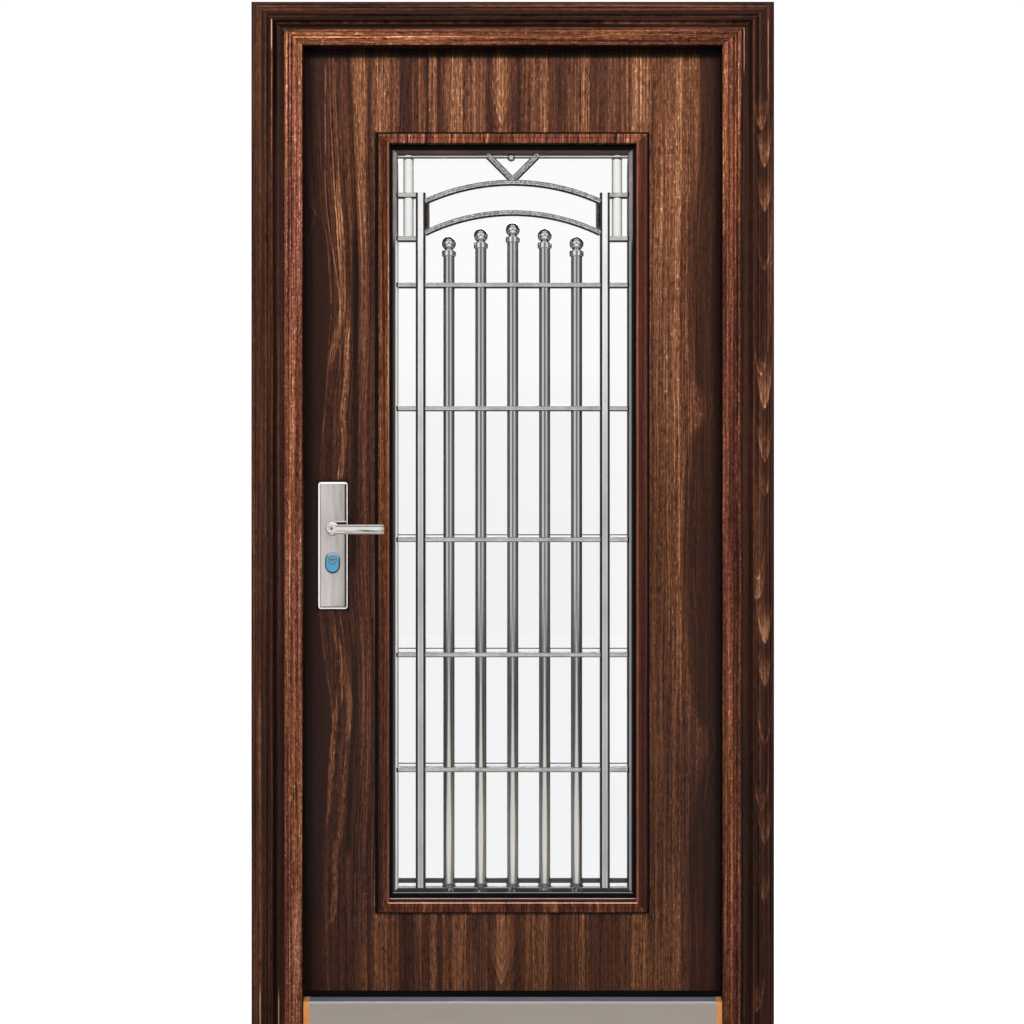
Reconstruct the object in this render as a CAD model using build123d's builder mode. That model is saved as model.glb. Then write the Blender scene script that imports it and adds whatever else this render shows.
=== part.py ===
from build123d import *
import os

# A steel security door: a leaf with a glazed and barred window, hung on three
# knuckle hinges in a frame with mitred, moulded casings and a steel threshold.
# X runs along the width, Y goes into the wall, Z is up. The origin is at the
# bottom centre of the frame, on the underside of the threshold, in the plane of
# the wall's front face, which the casings lie against.

os.makedirs("parts", exist_ok=True)

# ---------------------------------------------------------------- dimensions, mm
# frame
HEIGHT = 2050.0  # overall, to the top of the head casing
HALF_WIDTH = 523.0  # to the outer edge of a side casing
JAMB_OUT = 458.0  # outer faces of the side jambs
HEAD_OUT = 1994.0  # top face of the head jamb
REVEAL = 419.5  # clear half width between the lips
HEAD_REVEAL = 1963.6  # underside of the head's lip
LIP_BACK = 20.0  # back face of the lip, that the leaf shuts behind
REBATE = 440.0  # faces that the leaf's edges pass
JAMB_BACK = 90.0
CASING_W = HALF_WIDTH - JAMB_OUT
HEAD_CASING_W = HEIGHT - HEAD_OUT
LIP_W = JAMB_OUT - REVEAL
HEAD_LIP_W = HEAD_OUT - HEAD_REVEAL
HEAD_SCALE = HEAD_LIP_W / LIP_W

# threshold
SILL_FRONT, SILL_FRONT_Z, SILL_BACK_Z = -12.0, 47.0, 51.0
SILL_REAR_Z = 30.0
CAP_W = 11.0

# leaf
LEAF_L, LEAF_R = -431.5, 434.0
LEAF_Z0, LEAF_Z1 = 38.0, 1973.6
LEAF_FRONT, LEAF_BACK = 27.0, 87.0
SKIN = 1.5
HEM_Z = 62.0
MID_Y = (LEAF_FRONT + LEAF_BACK) / 2

# window in the leaf
BEAD_HALF, BEAD_Z0, BEAD_Z1 = 271.5, 221.0, 1792.0
BEAD_SIDE, BEAD_FOOT, BEAD_HEAD = 22.0, 20.5, 19.0  # face widths
CUT_SHARE = 14.5 / 22.0  # how far under the bead the opening's edge is
CUT_HALF = BEAD_HALF - CUT_SHARE * BEAD_SIDE
CUT_Z0 = BEAD_Z0 + CUT_SHARE * BEAD_FOOT
CUT_Z1 = BEAD_Z1 - CUT_SHARE * BEAD_HEAD
BEAD_FRONT, BEAD_BACK, BEAD_LEG = 18.0, 96.0, 36.0
GLASS_Y0, GLASS_Y1 = 73.0, 79.0

# grille
RING_HALF, RING_Z0, RING_Z1, RING_W = 244.0, 255.5, 1765.0, 11.0
BAR_Y0, BAR_Y1 = 43.0, 71.0
POST_X, POST_W, POST_TOP = 187.0, 20.0, 1677.0
TUBE_R, TUBE_Y, TUBE_PITCH = 11.4, 57.0, 64.9
BALL_R = 14.4
BALL_Z = {0: 1602.8, 1: 1591.0, 2: 1574.8}
CROSS_Z = [506.0, 739.2, 973.0, 1239.1, 1489.6]
CROSS_H = 10.0
STUB_HIGH, STUB_LOW = 1672.2, 1583.8
CORNER_X, CORNER_R = 212.0, 10.5
ARCH_W = 11.0
OUTER_CROWN, OUTER_R = 1703.3, 436.5
INNER_CROWN, INNER_R = 1641.9, 411.6

# lock and handle
LOCK_X = -363.3
PIVOT_Z = 995.7
PLUG_Z = 933.0
PLATE_Z0, PLATE_Z1, PLATE_W, PLATE_T = 833.0, 1089.5, 59.2, 8.0
NECK_R, NECK_HOLE = 9.0, 9.05
PLUG_R, PLUG_HOLE = 8.0, 8.05
GUARD_W, GUARD_H, GUARD_Z, GUARD_T = 29.7, 41.8, 926.9, 5.0
BAR_T, BAR_H, BAR_TIP = 12.0, 19.0, -257.3
LEVER_REACH = 48.0  # from the leaf's face to the back of the lever's bar
BOLT_R, BOLT_L = 9.0, 38.0
BOLTS_MAIN = [885.0, 925.0, 965.0]
LATCH_Z = 1052.0
BOLT_HIGH, BOLT_LOW = 1690.0, 350.0
EDGE_PLATES = [(350.0, 100.0), (985.0, 270.0), (1690.0, 100.0)]  # centre and height
# pockets in the jamb for the bolts and the latch: centre and height
POCKET_W, POCKET_BACK = 20.0, 455.0
POCKETS = [(BOLT_LOW, 22.0), (BOLTS_MAIN[1], 102.0), (LATCH_Z, 26.0), (BOLT_HIGH, 22.0)]

# hinges
HINGE_X, HINGE_Y = 437.5, 101.0
HINGE_Z = [260.0, 1025.0, 1790.0]
KNUCKLE_R, PIN_R, PIN_HOLE = 8.0, 5.0, 5.05

# fixing holes through the jambs
ANCHOR_Z = [200.0, 700.0, 1350.0, 1850.0]
ANCHOR_R = 6.0

# Sections, as (distance in from the outer edge, depth). A pair of points is an
# arc: the point it passes, then the point it reaches.
CASING = [
    (0.0, 0.0),
    (0.0, -17.0),
    ((0.9, -19.1), (3.0, -20.0)),
    (7.2, -20.6),
    (8.3, -19.2),
    (9.3, -22.0),
    ((12.0, -25.2), (14.7, -23.9)),
    (15.9, -22.8),
    ((18.0, -25.8), (21.5, -27.0)),
    (28.5, -26.4),
    ((30.6, -26.0), (31.6, -24.4)),
    ((34.6, -20.9), (39.4, -20.2)),
    (40.0, -21.6),
    ((41.9, -24.8), (43.9, -22.6)),
    (48.4, -11.8),
    (50.4, -10.4),
    (62.4, -13.2),
    (63.2, -11.4),
    (65.0, -11.4),
    (65.0, 0.0),
]
JAMB = [
    (0.0, LIP_BACK),
    (0.0, -19.0),
    (1.0, -20.0),
    (8.0, -20.4),
    (9.5, -17.6),
    (14.0, -17.0),
    (15.5, -19.0),
    ((19.5, -21.4), (23.5, -19.0)),
    (25.0, -17.4),
    (27.0, -18.6),
    (34.0, -18.2),
    ((37.2, -16.9), (38.5, -13.6)),
    (38.5, LIP_BACK),
]
BEAD = [
    (0.0, LEAF_FRONT),
    (0.0, 19.6),
    ((0.5, 18.4), (1.7, BEAD_FRONT)),
    (8.6, BEAD_FRONT),
    (9.4, 18.9),
    (10.2, BEAD_FRONT),
    (18.6, BEAD_FRONT),
    ((21.0, 18.9), (22.0, 21.0)),
    (22.0, BEAD_LEG),
    (14.5, BEAD_LEG),
    (14.5, LEAF_FRONT),
]
REAR_BEAD = [
    (0.0, LEAF_BACK),
    (0.0, 94.4),
    ((0.5, 95.5), (1.7, BEAD_BACK)),
    (18.6, BEAD_BACK),
    ((21.0, 95.1), (22.0, 93.0)),
    (22.0, GLASS_Y1),
    (14.5, GLASS_Y1),
    (14.5, LEAF_BACK),
]
RING = [
    (0.0, BAR_Y1),
    (0.0, BAR_Y0 + 1.5),
    (1.5, BAR_Y0),
    (9.5, BAR_Y0),
    (11.0, BAR_Y0 + 1.5),
    (11.0, BAR_Y1),
]


def trace(steps, place):
    """Draws the closed outline of a section, each point set by place."""
    here = steps[0]
    for step in steps[1:] + steps[:1]:
        if isinstance(step[0], tuple):
            ThreePointArc(place(*here), place(*step[0]), place(*step[1]))
            here = step[1]
        else:
            Line(place(*here), place(*step))
            here = step


def mitre(x, z, run, rise):
    """The cutting plane of a corner whose outer point is x, z. Its far side is the horizontal member's."""
    return Plane(origin=(x, 0, z), x_dir=(0, 1, 0), z_dir=(rise, 0, run))


def ring_sides(steps, half, low, high, side, foot, head):
    """Both upright members of a mitred ring. side, foot and head are its face widths."""
    with BuildPart() as member:
        with BuildSketch(Plane.XY.offset(low)):
            with BuildLine():
                trace(steps, lambda u, y: (half - u, y))
            make_face()
        extrude(amount=high - low)
        split(bisect_by=mitre(half, high, side, -head), keep=Keep.BOTTOM)
        split(bisect_by=mitre(half, low, -side, -foot), keep=Keep.BOTTOM)
        mirror(about=Plane.YZ)
    return member.part


def ring_end(steps, half, z, side, width, up):
    """One horizontal member of a mitred ring, at the top with up = 1, at the foot with up = -1."""
    with BuildPart() as member:
        with BuildSketch(Plane.YZ):
            with BuildLine():
                trace(steps, lambda u, y: (y, z - up * u * width / side))
            make_face()
        extrude(amount=half, both=True)
        split(bisect_by=mitre(half, z, up * side, -width), keep=Keep.TOP)
        split(bisect_by=mitre(-half, z, up * side, width), keep=Keep.TOP)
    return member.part


# ------------------------------------------------------------------ door casings
with BuildPart() as casing_left:
    with BuildSketch(Plane.XY):
        with BuildLine():
            trace(CASING, lambda d, y: (d - HALF_WIDTH, y))
        make_face()
    extrude(amount=HEIGHT)
    split(
        bisect_by=mitre(-HALF_WIDTH, HEIGHT, CASING_W, HEAD_CASING_W), keep=Keep.BOTTOM
    )
casing_left.part.label = "casing_left"

with BuildPart() as casing_right:
    with BuildSketch(Plane.XY):
        with BuildLine():
            trace(CASING, lambda d, y: (HALF_WIDTH - d, y))
        make_face()
    extrude(amount=HEIGHT)
    split(
        bisect_by=mitre(HALF_WIDTH, HEIGHT, CASING_W, -HEAD_CASING_W), keep=Keep.BOTTOM
    )
casing_right.part.label = "casing_right"

with BuildPart() as casing_head:
    with BuildSketch(Plane.YZ):
        with BuildLine():
            trace(CASING, lambda d, y: (y, HEIGHT - d * HEAD_CASING_W / CASING_W))
        make_face()
    extrude(amount=HALF_WIDTH, both=True)
    split(bisect_by=mitre(HALF_WIDTH, HEIGHT, CASING_W, -HEAD_CASING_W), keep=Keep.TOP)
    split(bisect_by=mitre(-HALF_WIDTH, HEIGHT, CASING_W, HEAD_CASING_W), keep=Keep.TOP)
casing_head.part.label = "casing_head"

# ------------------------------------------------------------------------- jambs
# Each jamb is a moulded lip with a flat web behind it, which the leaf's edge
# passes.
with BuildPart() as jamb_lock_side:
    with BuildSketch(Plane.XY):
        with BuildLine():
            trace(JAMB, lambda t, y: (t - JAMB_OUT, y))
        make_face()
    extrude(amount=HEAD_OUT)
    split(bisect_by=mitre(-JAMB_OUT, HEAD_OUT, LIP_W, HEAD_LIP_W), keep=Keep.BOTTOM)
jamb_lock_side.part.label = "jamb_lock_side"

with BuildPart() as jamb_hinge_side:
    with BuildSketch(Plane.XY):
        with BuildLine():
            trace(JAMB, lambda t, y: (JAMB_OUT - t, y))
        make_face()
    extrude(amount=HEAD_OUT)
    split(bisect_by=mitre(JAMB_OUT, HEAD_OUT, LIP_W, -HEAD_LIP_W), keep=Keep.BOTTOM)
jamb_hinge_side.part.label = "jamb_hinge_side"

with BuildPart() as jamb_head:
    with BuildSketch(Plane.YZ):
        with BuildLine():
            trace(JAMB, lambda t, y: (y, HEAD_OUT - t * HEAD_SCALE))
        make_face()
    extrude(amount=JAMB_OUT, both=True)
    split(bisect_by=mitre(JAMB_OUT, HEAD_OUT, LIP_W, -HEAD_LIP_W), keep=Keep.TOP)
    split(bisect_by=mitre(-JAMB_OUT, HEAD_OUT, LIP_W, HEAD_LIP_W), keep=Keep.TOP)
jamb_head.part.label = "jamb_head"


def web_strip(y0, y1, z0, z1):
    """A length of the lock side's web, recessed for the strike plates and mitred at the head."""
    with BuildPart() as strip:
        with Locations((-(JAMB_OUT + REBATE) / 2, (y0 + y1) / 2, (z0 + z1) / 2)):
            Box(JAMB_OUT - REBATE, y1 - y0, z1 - z0)
        split(bisect_by=mitre(-JAMB_OUT, HEAD_OUT, LIP_W, HEAD_LIP_W), keep=Keep.BOTTOM)
        with BuildSketch(Plane.YZ.offset(-REBATE)):
            for centre, tall in EDGE_PLATES:
                with Locations((MID_Y, centre)):
                    Rectangle(30, tall)
        extrude(amount=-2.5, mode=Mode.SUBTRACT)
    return strip.part


# The lock side's web is two strips with a core between them. The core stops at
# each pocket, where a strike box closes the back.
POCKET_Y0, POCKET_Y1 = MID_Y - POCKET_W / 2, MID_Y + POCKET_W / 2

with BuildPart() as jamb_lock_web:
    add(web_strip(LIP_BACK, POCKET_Y0, 0, HEAD_OUT))
    add(web_strip(POCKET_Y1, JAMB_BACK, 0, HEAD_OUT))
jamb_lock_web.part.label = "jamb_lock_web"

with BuildPart() as jamb_lock_core:
    low = 0.0
    for centre, tall in POCKETS + [(HEAD_OUT, 0.0)]:
        add(web_strip(POCKET_Y0, POCKET_Y1, low, centre - tall / 2))
        low = centre + tall / 2
    with BuildSketch(Plane.YZ.offset(-JAMB_OUT)):
        with Locations(*[(MID_Y, z) for z in ANCHOR_Z]):
            Circle(ANCHOR_R)
    extrude(amount=JAMB_OUT - REBATE, mode=Mode.SUBTRACT)
jamb_lock_core.part.label = "jamb_lock_core"

with BuildPart() as strike_boxes:
    for centre, tall in POCKETS:
        with Locations((-(JAMB_OUT + POCKET_BACK) / 2, MID_Y, centre)):
            Box(JAMB_OUT - POCKET_BACK, POCKET_W, tall)
strike_boxes.part.label = "strike_boxes"

with BuildPart() as jamb_hinge_web:
    with Locations(
        ((JAMB_OUT + REBATE) / 2, (LIP_BACK + JAMB_BACK) / 2, HEAD_OUT / 2)
    ):
        Box(JAMB_OUT - REBATE, JAMB_BACK - LIP_BACK, HEAD_OUT)
    split(bisect_by=mitre(JAMB_OUT, HEAD_OUT, LIP_W, -HEAD_LIP_W), keep=Keep.BOTTOM)
    with BuildSketch(Plane.YZ.offset(JAMB_OUT)):
        with Locations(*[(MID_Y, z) for z in ANCHOR_Z]):
            Circle(ANCHOR_R)
    extrude(amount=REBATE - JAMB_OUT, mode=Mode.SUBTRACT)
jamb_hinge_web.part.label = "jamb_hinge_web"

HEAD_REBATE = HEAD_OUT - (JAMB_OUT - REBATE) * HEAD_SCALE
with BuildPart() as jamb_head_web:
    with Locations((0, (LIP_BACK + JAMB_BACK) / 2, (HEAD_OUT + HEAD_REBATE) / 2)):
        Box(2 * JAMB_OUT, JAMB_BACK - LIP_BACK, HEAD_OUT - HEAD_REBATE)
    split(bisect_by=mitre(JAMB_OUT, HEAD_OUT, LIP_W, -HEAD_LIP_W), keep=Keep.TOP)
    split(bisect_by=mitre(-JAMB_OUT, HEAD_OUT, LIP_W, HEAD_LIP_W), keep=Keep.TOP)
jamb_head_web.part.label = "jamb_head_web"

# --------------------------------------------------------------------- threshold
# A front bar with a sloped top that the leaf shuts behind, and a lower plate
# under the leaf. The bar's ends are closed by caps of the same section.
with BuildPart() as threshold:
    with BuildSketch(Plane.YZ):
        with BuildLine():
            Polyline(
                (SILL_FRONT, 0),
                (LIP_BACK, 0),
                (LIP_BACK, SILL_BACK_Z),
                (SILL_FRONT, SILL_FRONT_Z),
                close=True,
            )
        make_face()
    extrude(amount=REVEAL - CAP_W, both=True)
    fillet(threshold.edges().filter_by(Axis.X).group_by(Axis.Z)[-1], 1.5)
    fillet(
        threshold.edges()
        .filter_by(Axis.X)
        .filter_by(lambda e: abs(e.center().Z - SILL_FRONT_Z) < 0.5)
        .sort_by(Axis.Y)[0],
        4.0,
    )
    with Locations((0, (LIP_BACK + JAMB_BACK) / 2, SILL_REAR_Z / 2)):
        Box(2 * REBATE, JAMB_BACK - LIP_BACK, SILL_REAR_Z)
threshold.part.label = "threshold"

with BuildPart() as threshold_end_caps:
    with BuildSketch(Plane.YZ.offset(REVEAL - CAP_W)):
        with BuildLine():
            Polyline(
                (SILL_FRONT, 0),
                (LIP_BACK, 0),
                (LIP_BACK, SILL_BACK_Z),
                (SILL_FRONT, SILL_FRONT_Z),
                close=True,
            )
        make_face()
    extrude(amount=CAP_W)
    fillet(
        threshold_end_caps.edges()
        .filter_by(Axis.X)
        .filter_by(lambda e: abs(e.center().Z - SILL_FRONT_Z) < 0.5)
        .sort_by(Axis.Y)[0],
        4.0,
    )
    mirror(about=Plane.YZ)
threshold_end_caps.part.label = "threshold_end_caps"

# Rubber strips on the back of the lips, drawn pressed flat.
with BuildPart() as frame_seals:
    with Locations((427.5, LIP_BACK + 1.0, 1006.0)):
        Box(9, 2.0, 1900)
    mirror(about=Plane.YZ)
    with Locations((0, LIP_BACK + 1.0, 1969.0)):
        Box(830, 2.0, 8)
frame_seals.part.label = "frame_seals"

with BuildPart() as strike_plates:
    with BuildSketch(Plane.YZ.offset(-REBATE)):
        for centre, tall in EDGE_PLATES:
            with Locations((MID_Y, centre)):
                Rectangle(30, tall)
        for centre, tall in POCKETS:
            with Locations((MID_Y, centre)):
                Rectangle(POCKET_W, tall, mode=Mode.SUBTRACT)
    extrude(amount=-2.5)
strike_plates.part.label = "strike_plates"

# ------------------------------------------------------------------------ hinges
# Each hinge has a fixed knuckle above and below the leaf's own.
with BuildPart() as hinge_frame_leaves:
    for z in HINGE_Z:
        with Locations((449, JAMB_BACK + 1.25, z)):
            Box(18, 2.5, 116)
        for low in (z - 58, z + 20):
            with BuildSketch(Plane.XY.offset(low)):
                with Locations((HINGE_X, HINGE_Y)):
                    Circle(KNUCKLE_R)
                with BuildLine():
                    Polyline(
                        (440.5, JAMB_BACK + 1.5),
                        (455, JAMB_BACK + 1.5),
                        (HINGE_X + KNUCKLE_R, HINGE_Y),
                        (HINGE_X, HINGE_Y),
                        (HINGE_X, HINGE_Y - KNUCKLE_R),
                        close=True,
                    )
                make_face()
                with Locations((HINGE_X, HINGE_Y)):
                    Circle(PIN_R, mode=Mode.SUBTRACT)
            extrude(amount=38)
hinge_frame_leaves.part.label = "hinge_frame_leaves"

with BuildPart() as hinge_pins:
    for z in HINGE_Z:
        with BuildSketch(Plane.XY.offset(z - 58)):
            with Locations((HINGE_X, HINGE_Y)):
                Circle(PIN_R)
        extrude(amount=116)
        for low in (z - 63, z + 58):
            with BuildSketch(Plane.XY.offset(low)):
                with Locations((HINGE_X, HINGE_Y)):
                    Circle(KNUCKLE_R - 0.5)
            extrude(amount=5)
    fillet(
        hinge_pins.edges()
        .filter_by(GeomType.CIRCLE)
        .filter_by(
            lambda e: abs(e.radius - (KNUCKLE_R - 0.5)) < 0.01
            and min(abs(abs(e.center().Z - z) - 63) for z in HINGE_Z) < 0.1
        ),
        2.5,
    )
hinge_pins.part.label = "hinge_pins"

with BuildPart() as hinge_door_leaves:
    for z in HINGE_Z:
        with Locations((413, LEAF_BACK + 1.5, z)):
            Box(42, 3, 116)
        with BuildSketch(Plane.XY.offset(z - 19)):
            with Locations((HINGE_X, HINGE_Y)):
                Circle(KNUCKLE_R)
            with BuildLine():
                Polyline(
                    (420, LEAF_BACK + 2),
                    (434, LEAF_BACK + 2),
                    (HINGE_X, HINGE_Y - KNUCKLE_R),
                    (HINGE_X, HINGE_Y),
                    (HINGE_X - KNUCKLE_R, HINGE_Y),
                    close=True,
                )
            make_face()
            with Locations((HINGE_X, HINGE_Y)):
                Circle(PIN_HOLE, mode=Mode.SUBTRACT)
        extrude(amount=38)
hinge_door_leaves.part.label = "hinge_door_leaves"

# ------------------------------------------------------------------ leaf, filled
CORE_Y0, CORE_Y1 = LEAF_FRONT + SKIN, LEAF_BACK - SKIN

with BuildPart() as leaf_lock_stile:
    with Locations(((LEAF_L - CUT_HALF) / 2, MID_Y, (LEAF_Z0 + LEAF_Z1) / 2)):
        Box(-CUT_HALF - LEAF_L, CORE_Y1 - CORE_Y0, LEAF_Z1 - LEAF_Z0)
    # bores for the spindle and for the two key plugs
    with BuildSketch(Plane.XZ.offset(-CORE_Y1)):
        with Locations((LOCK_X, PIVOT_Z)):
            Circle(10)
    extrude(amount=CORE_Y1 - CORE_Y0, mode=Mode.SUBTRACT)
    for y in (CORE_Y0 + 17.5, CORE_Y1):
        with BuildSketch(Plane.XZ.offset(-y)):
            with Locations((LOCK_X, PLUG_Z)):
                Circle(9)
        extrude(amount=17.5, mode=Mode.SUBTRACT)
    # recesses for the edge plates, then for the bolts and the latch
    with BuildSketch(Plane.YZ.offset(LEAF_L)):
        for centre, tall in EDGE_PLATES:
            with Locations((MID_Y, centre)):
                Rectangle(24, tall)
    extrude(amount=2.5, mode=Mode.SUBTRACT)
    with BuildSketch(Plane.YZ.offset(LEAF_L)):
        with Locations(*[(MID_Y, z) for z in BOLTS_MAIN + [BOLT_HIGH, BOLT_LOW]]):
            Circle(BOLT_R + 0.1)
        with Locations((MID_Y, LATCH_Z)):
            Rectangle(14.2, 22.2)
    extrude(amount=BOLT_L, mode=Mode.SUBTRACT)
leaf_lock_stile.part.label = "leaf_lock_stile"

with BuildPart() as leaf_hinge_stile:
    with Locations(((LEAF_R + CUT_HALF) / 2, MID_Y, (LEAF_Z0 + LEAF_Z1) / 2)):
        Box(LEAF_R - CUT_HALF, CORE_Y1 - CORE_Y0, LEAF_Z1 - LEAF_Z0)
leaf_hinge_stile.part.label = "leaf_hinge_stile"

with BuildPart() as leaf_top_rail:
    with Locations((0, MID_Y, (CUT_Z1 + LEAF_Z1) / 2)):
        Box(2 * CUT_HALF, CORE_Y1 - CORE_Y0, LEAF_Z1 - CUT_Z1)
leaf_top_rail.part.label = "leaf_top_rail"

with BuildPart() as leaf_bottom_rail:
    with Locations((0, MID_Y, (CUT_Z0 + LEAF_Z0) / 2)):
        Box(2 * CUT_HALF, CORE_Y1 - CORE_Y0, CUT_Z0 - LEAF_Z0)
leaf_bottom_rail.part.label = "leaf_bottom_rail"

# The pressed steel faces, cut out for the window and bored for the lock. The
# front one stops above the rubber sweep.
with BuildPart() as leaf_front_sheet:
    with BuildSketch(Plane.XZ.offset(-CORE_Y0)):
        with Locations(((LEAF_L + LEAF_R) / 2, (HEM_Z + LEAF_Z1) / 2)):
            Rectangle(LEAF_R - LEAF_L, LEAF_Z1 - HEM_Z)
        with Locations((0, (CUT_Z0 + CUT_Z1) / 2)):
            Rectangle(2 * CUT_HALF, CUT_Z1 - CUT_Z0, mode=Mode.SUBTRACT)
        with Locations((LOCK_X, PIVOT_Z)):
            Circle(10, mode=Mode.SUBTRACT)
        with Locations((LOCK_X, PLUG_Z)):
            Circle(9, mode=Mode.SUBTRACT)
    extrude(amount=SKIN)
leaf_front_sheet.part.label = "leaf_front_sheet"

with BuildPart() as leaf_back_sheet:
    with BuildSketch(Plane.XZ.offset(-LEAF_BACK)):
        with Locations(((LEAF_L + LEAF_R) / 2, (LEAF_Z0 + LEAF_Z1) / 2)):
            Rectangle(LEAF_R - LEAF_L, LEAF_Z1 - LEAF_Z0)
        with Locations((0, (CUT_Z0 + CUT_Z1) / 2)):
            Rectangle(2 * CUT_HALF, CUT_Z1 - CUT_Z0, mode=Mode.SUBTRACT)
        with Locations((LOCK_X, PIVOT_Z)):
            Circle(10, mode=Mode.SUBTRACT)
        with Locations((LOCK_X, PLUG_Z)):
            Circle(9, mode=Mode.SUBTRACT)
    extrude(amount=SKIN)
leaf_back_sheet.part.label = "leaf_back_sheet"

with BuildPart() as bottom_sweep:
    with Locations(((LEAF_L + LEAF_R) / 2, LEAF_FRONT + 0.75, (LEAF_Z0 + HEM_Z) / 2)):
        Box(LEAF_R - LEAF_L - 8, 1.5, HEM_Z - LEAF_Z0 - 2)
bottom_sweep.part.label = "bottom_sweep"

# --------------------------------------------------------------- window, glazing
with BuildPart() as bead_front_sides:
    add(
        ring_sides(BEAD, BEAD_HALF, BEAD_Z0, BEAD_Z1, BEAD_SIDE, BEAD_FOOT, BEAD_HEAD)
    )
bead_front_sides.part.label = "bead_front_sides"

with BuildPart() as bead_front_ends:
    add(ring_end(BEAD, BEAD_HALF, BEAD_Z1, BEAD_SIDE, BEAD_HEAD, 1))
    add(ring_end(BEAD, BEAD_HALF, BEAD_Z0, BEAD_SIDE, BEAD_FOOT, -1))
bead_front_ends.part.label = "bead_front_ends"

with BuildPart() as bead_back_sides:
    add(
        ring_sides(
            REAR_BEAD, BEAD_HALF, BEAD_Z0, BEAD_Z1, BEAD_SIDE, BEAD_FOOT, BEAD_HEAD
        )
    )
bead_back_sides.part.label = "bead_back_sides"

with BuildPart() as bead_back_ends:
    add(ring_end(REAR_BEAD, BEAD_HALF, BEAD_Z1, BEAD_SIDE, BEAD_HEAD, 1))
    add(ring_end(REAR_BEAD, BEAD_HALF, BEAD_Z0, BEAD_SIDE, BEAD_FOOT, -1))
bead_back_ends.part.label = "bead_back_ends"

with BuildPart() as window_gasket_sides:
    with Locations(
        ((RING_HALF + CUT_HALF) / 2, (BEAD_LEG + GLASS_Y0) / 2, (CUT_Z0 + CUT_Z1) / 2)
    ):
        Box(CUT_HALF - RING_HALF, GLASS_Y0 - BEAD_LEG, CUT_Z1 - CUT_Z0)
    mirror(about=Plane.YZ)
window_gasket_sides.part.label = "window_gasket_sides"

with BuildPart() as window_gasket_ends:
    for low, high in ((CUT_Z0, RING_Z0), (RING_Z1, CUT_Z1)):
        with Locations((0, (BEAD_LEG + GLASS_Y0) / 2, (low + high) / 2)):
            Box(2 * RING_HALF, GLASS_Y0 - BEAD_LEG, high - low)
window_gasket_ends.part.label = "window_gasket_ends"

with BuildPart() as glass_pane:
    with Locations((0, (GLASS_Y0 + GLASS_Y1) / 2, (CUT_Z0 + CUT_Z1) / 2)):
        Box(2 * CUT_HALF - 1, GLASS_Y1 - GLASS_Y0, CUT_Z1 - CUT_Z0 - 1)
glass_pane.part.label = "glass_pane"

# ------------------------------------------------------------------------ grille
with BuildPart() as grille_frame_sides:
    add(ring_sides(RING, RING_HALF, RING_Z0, RING_Z1, RING_W, RING_W, RING_W))
grille_frame_sides.part.label = "grille_frame_sides"

with BuildPart() as grille_frame_ends:
    add(ring_end(RING, RING_HALF, RING_Z1, RING_W, RING_W, 1))
    add(ring_end(RING, RING_HALF, RING_Z0, RING_W, RING_W, -1))
grille_frame_ends.part.label = "grille_frame_ends"

with BuildPart() as grille_posts:
    with BuildSketch(Plane.XY.offset(RING_Z0 + RING_W)):
        with Locations((POST_X, BAR_Y0 + POST_W / 2), (-POST_X, BAR_Y0 + POST_W / 2)):
            RectangleRounded(POST_W, POST_W, 2.5)
    extrude(amount=POST_TOP - RING_Z0 - RING_W)
grille_posts.part.label = "grille_posts"

# Flat bars between the posts, pierced for the tubes.
with BuildPart() as grille_crossbars:
    for z in CROSS_Z:
        with BuildSketch(Plane.XY.offset(z - CROSS_H / 2)):
            with Locations((0, (BAR_Y0 + BAR_Y1) / 2)):
                Rectangle(2 * (POST_X - POST_W / 2), BAR_Y1 - BAR_Y0)
            with Locations(*[(i * TUBE_PITCH, TUBE_Y) for i in range(-2, 3)]):
                Circle(TUBE_R, mode=Mode.SUBTRACT)
        extrude(amount=CROSS_H)
grille_crossbars.part.label = "grille_crossbars"

# Short bars from the posts out to the grille's frame. The top pair is pierced
# for the corner tubes.
STUB_X0, STUB_X1 = POST_X + POST_W / 2, RING_HALF - RING_W
with BuildPart() as grille_side_bars:
    for z in CROSS_Z + [STUB_LOW]:
        with Locations(((STUB_X0 + STUB_X1) / 2, (BAR_Y0 + BAR_Y1) / 2, z)):
            Box(STUB_X1 - STUB_X0, BAR_Y1 - BAR_Y0, CROSS_H)
    with BuildSketch(Plane.XY.offset(STUB_HIGH - CROSS_H / 2)):
        with Locations(((STUB_X0 + STUB_X1) / 2, (BAR_Y0 + BAR_Y1) / 2)):
            Rectangle(STUB_X1 - STUB_X0, BAR_Y1 - BAR_Y0)
        with Locations((CORNER_X, TUBE_Y)):
            Circle(CORNER_R, mode=Mode.SUBTRACT)
    extrude(amount=CROSS_H)
    mirror(about=Plane.YZ)
grille_side_bars.part.label = "grille_side_bars"

with BuildPart() as grille_tubes:
    for i in range(-2, 3):
        with BuildSketch(Plane.XY.offset(RING_Z0 + RING_W)):
            with Locations((i * TUBE_PITCH, TUBE_Y)):
                Circle(TUBE_R)
        extrude(amount=BALL_Z[abs(i)] - 26 - RING_Z0 - RING_W)
    with BuildSketch(Plane.XY.offset(STUB_LOW + CROSS_H / 2)):
        with Locations((CORNER_X, TUBE_Y), (-CORNER_X, TUBE_Y)):
            Circle(CORNER_R)
    extrude(amount=RING_Z1 - RING_W - STUB_LOW - CROSS_H / 2)
grille_tubes.part.label = "grille_tubes"

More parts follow.
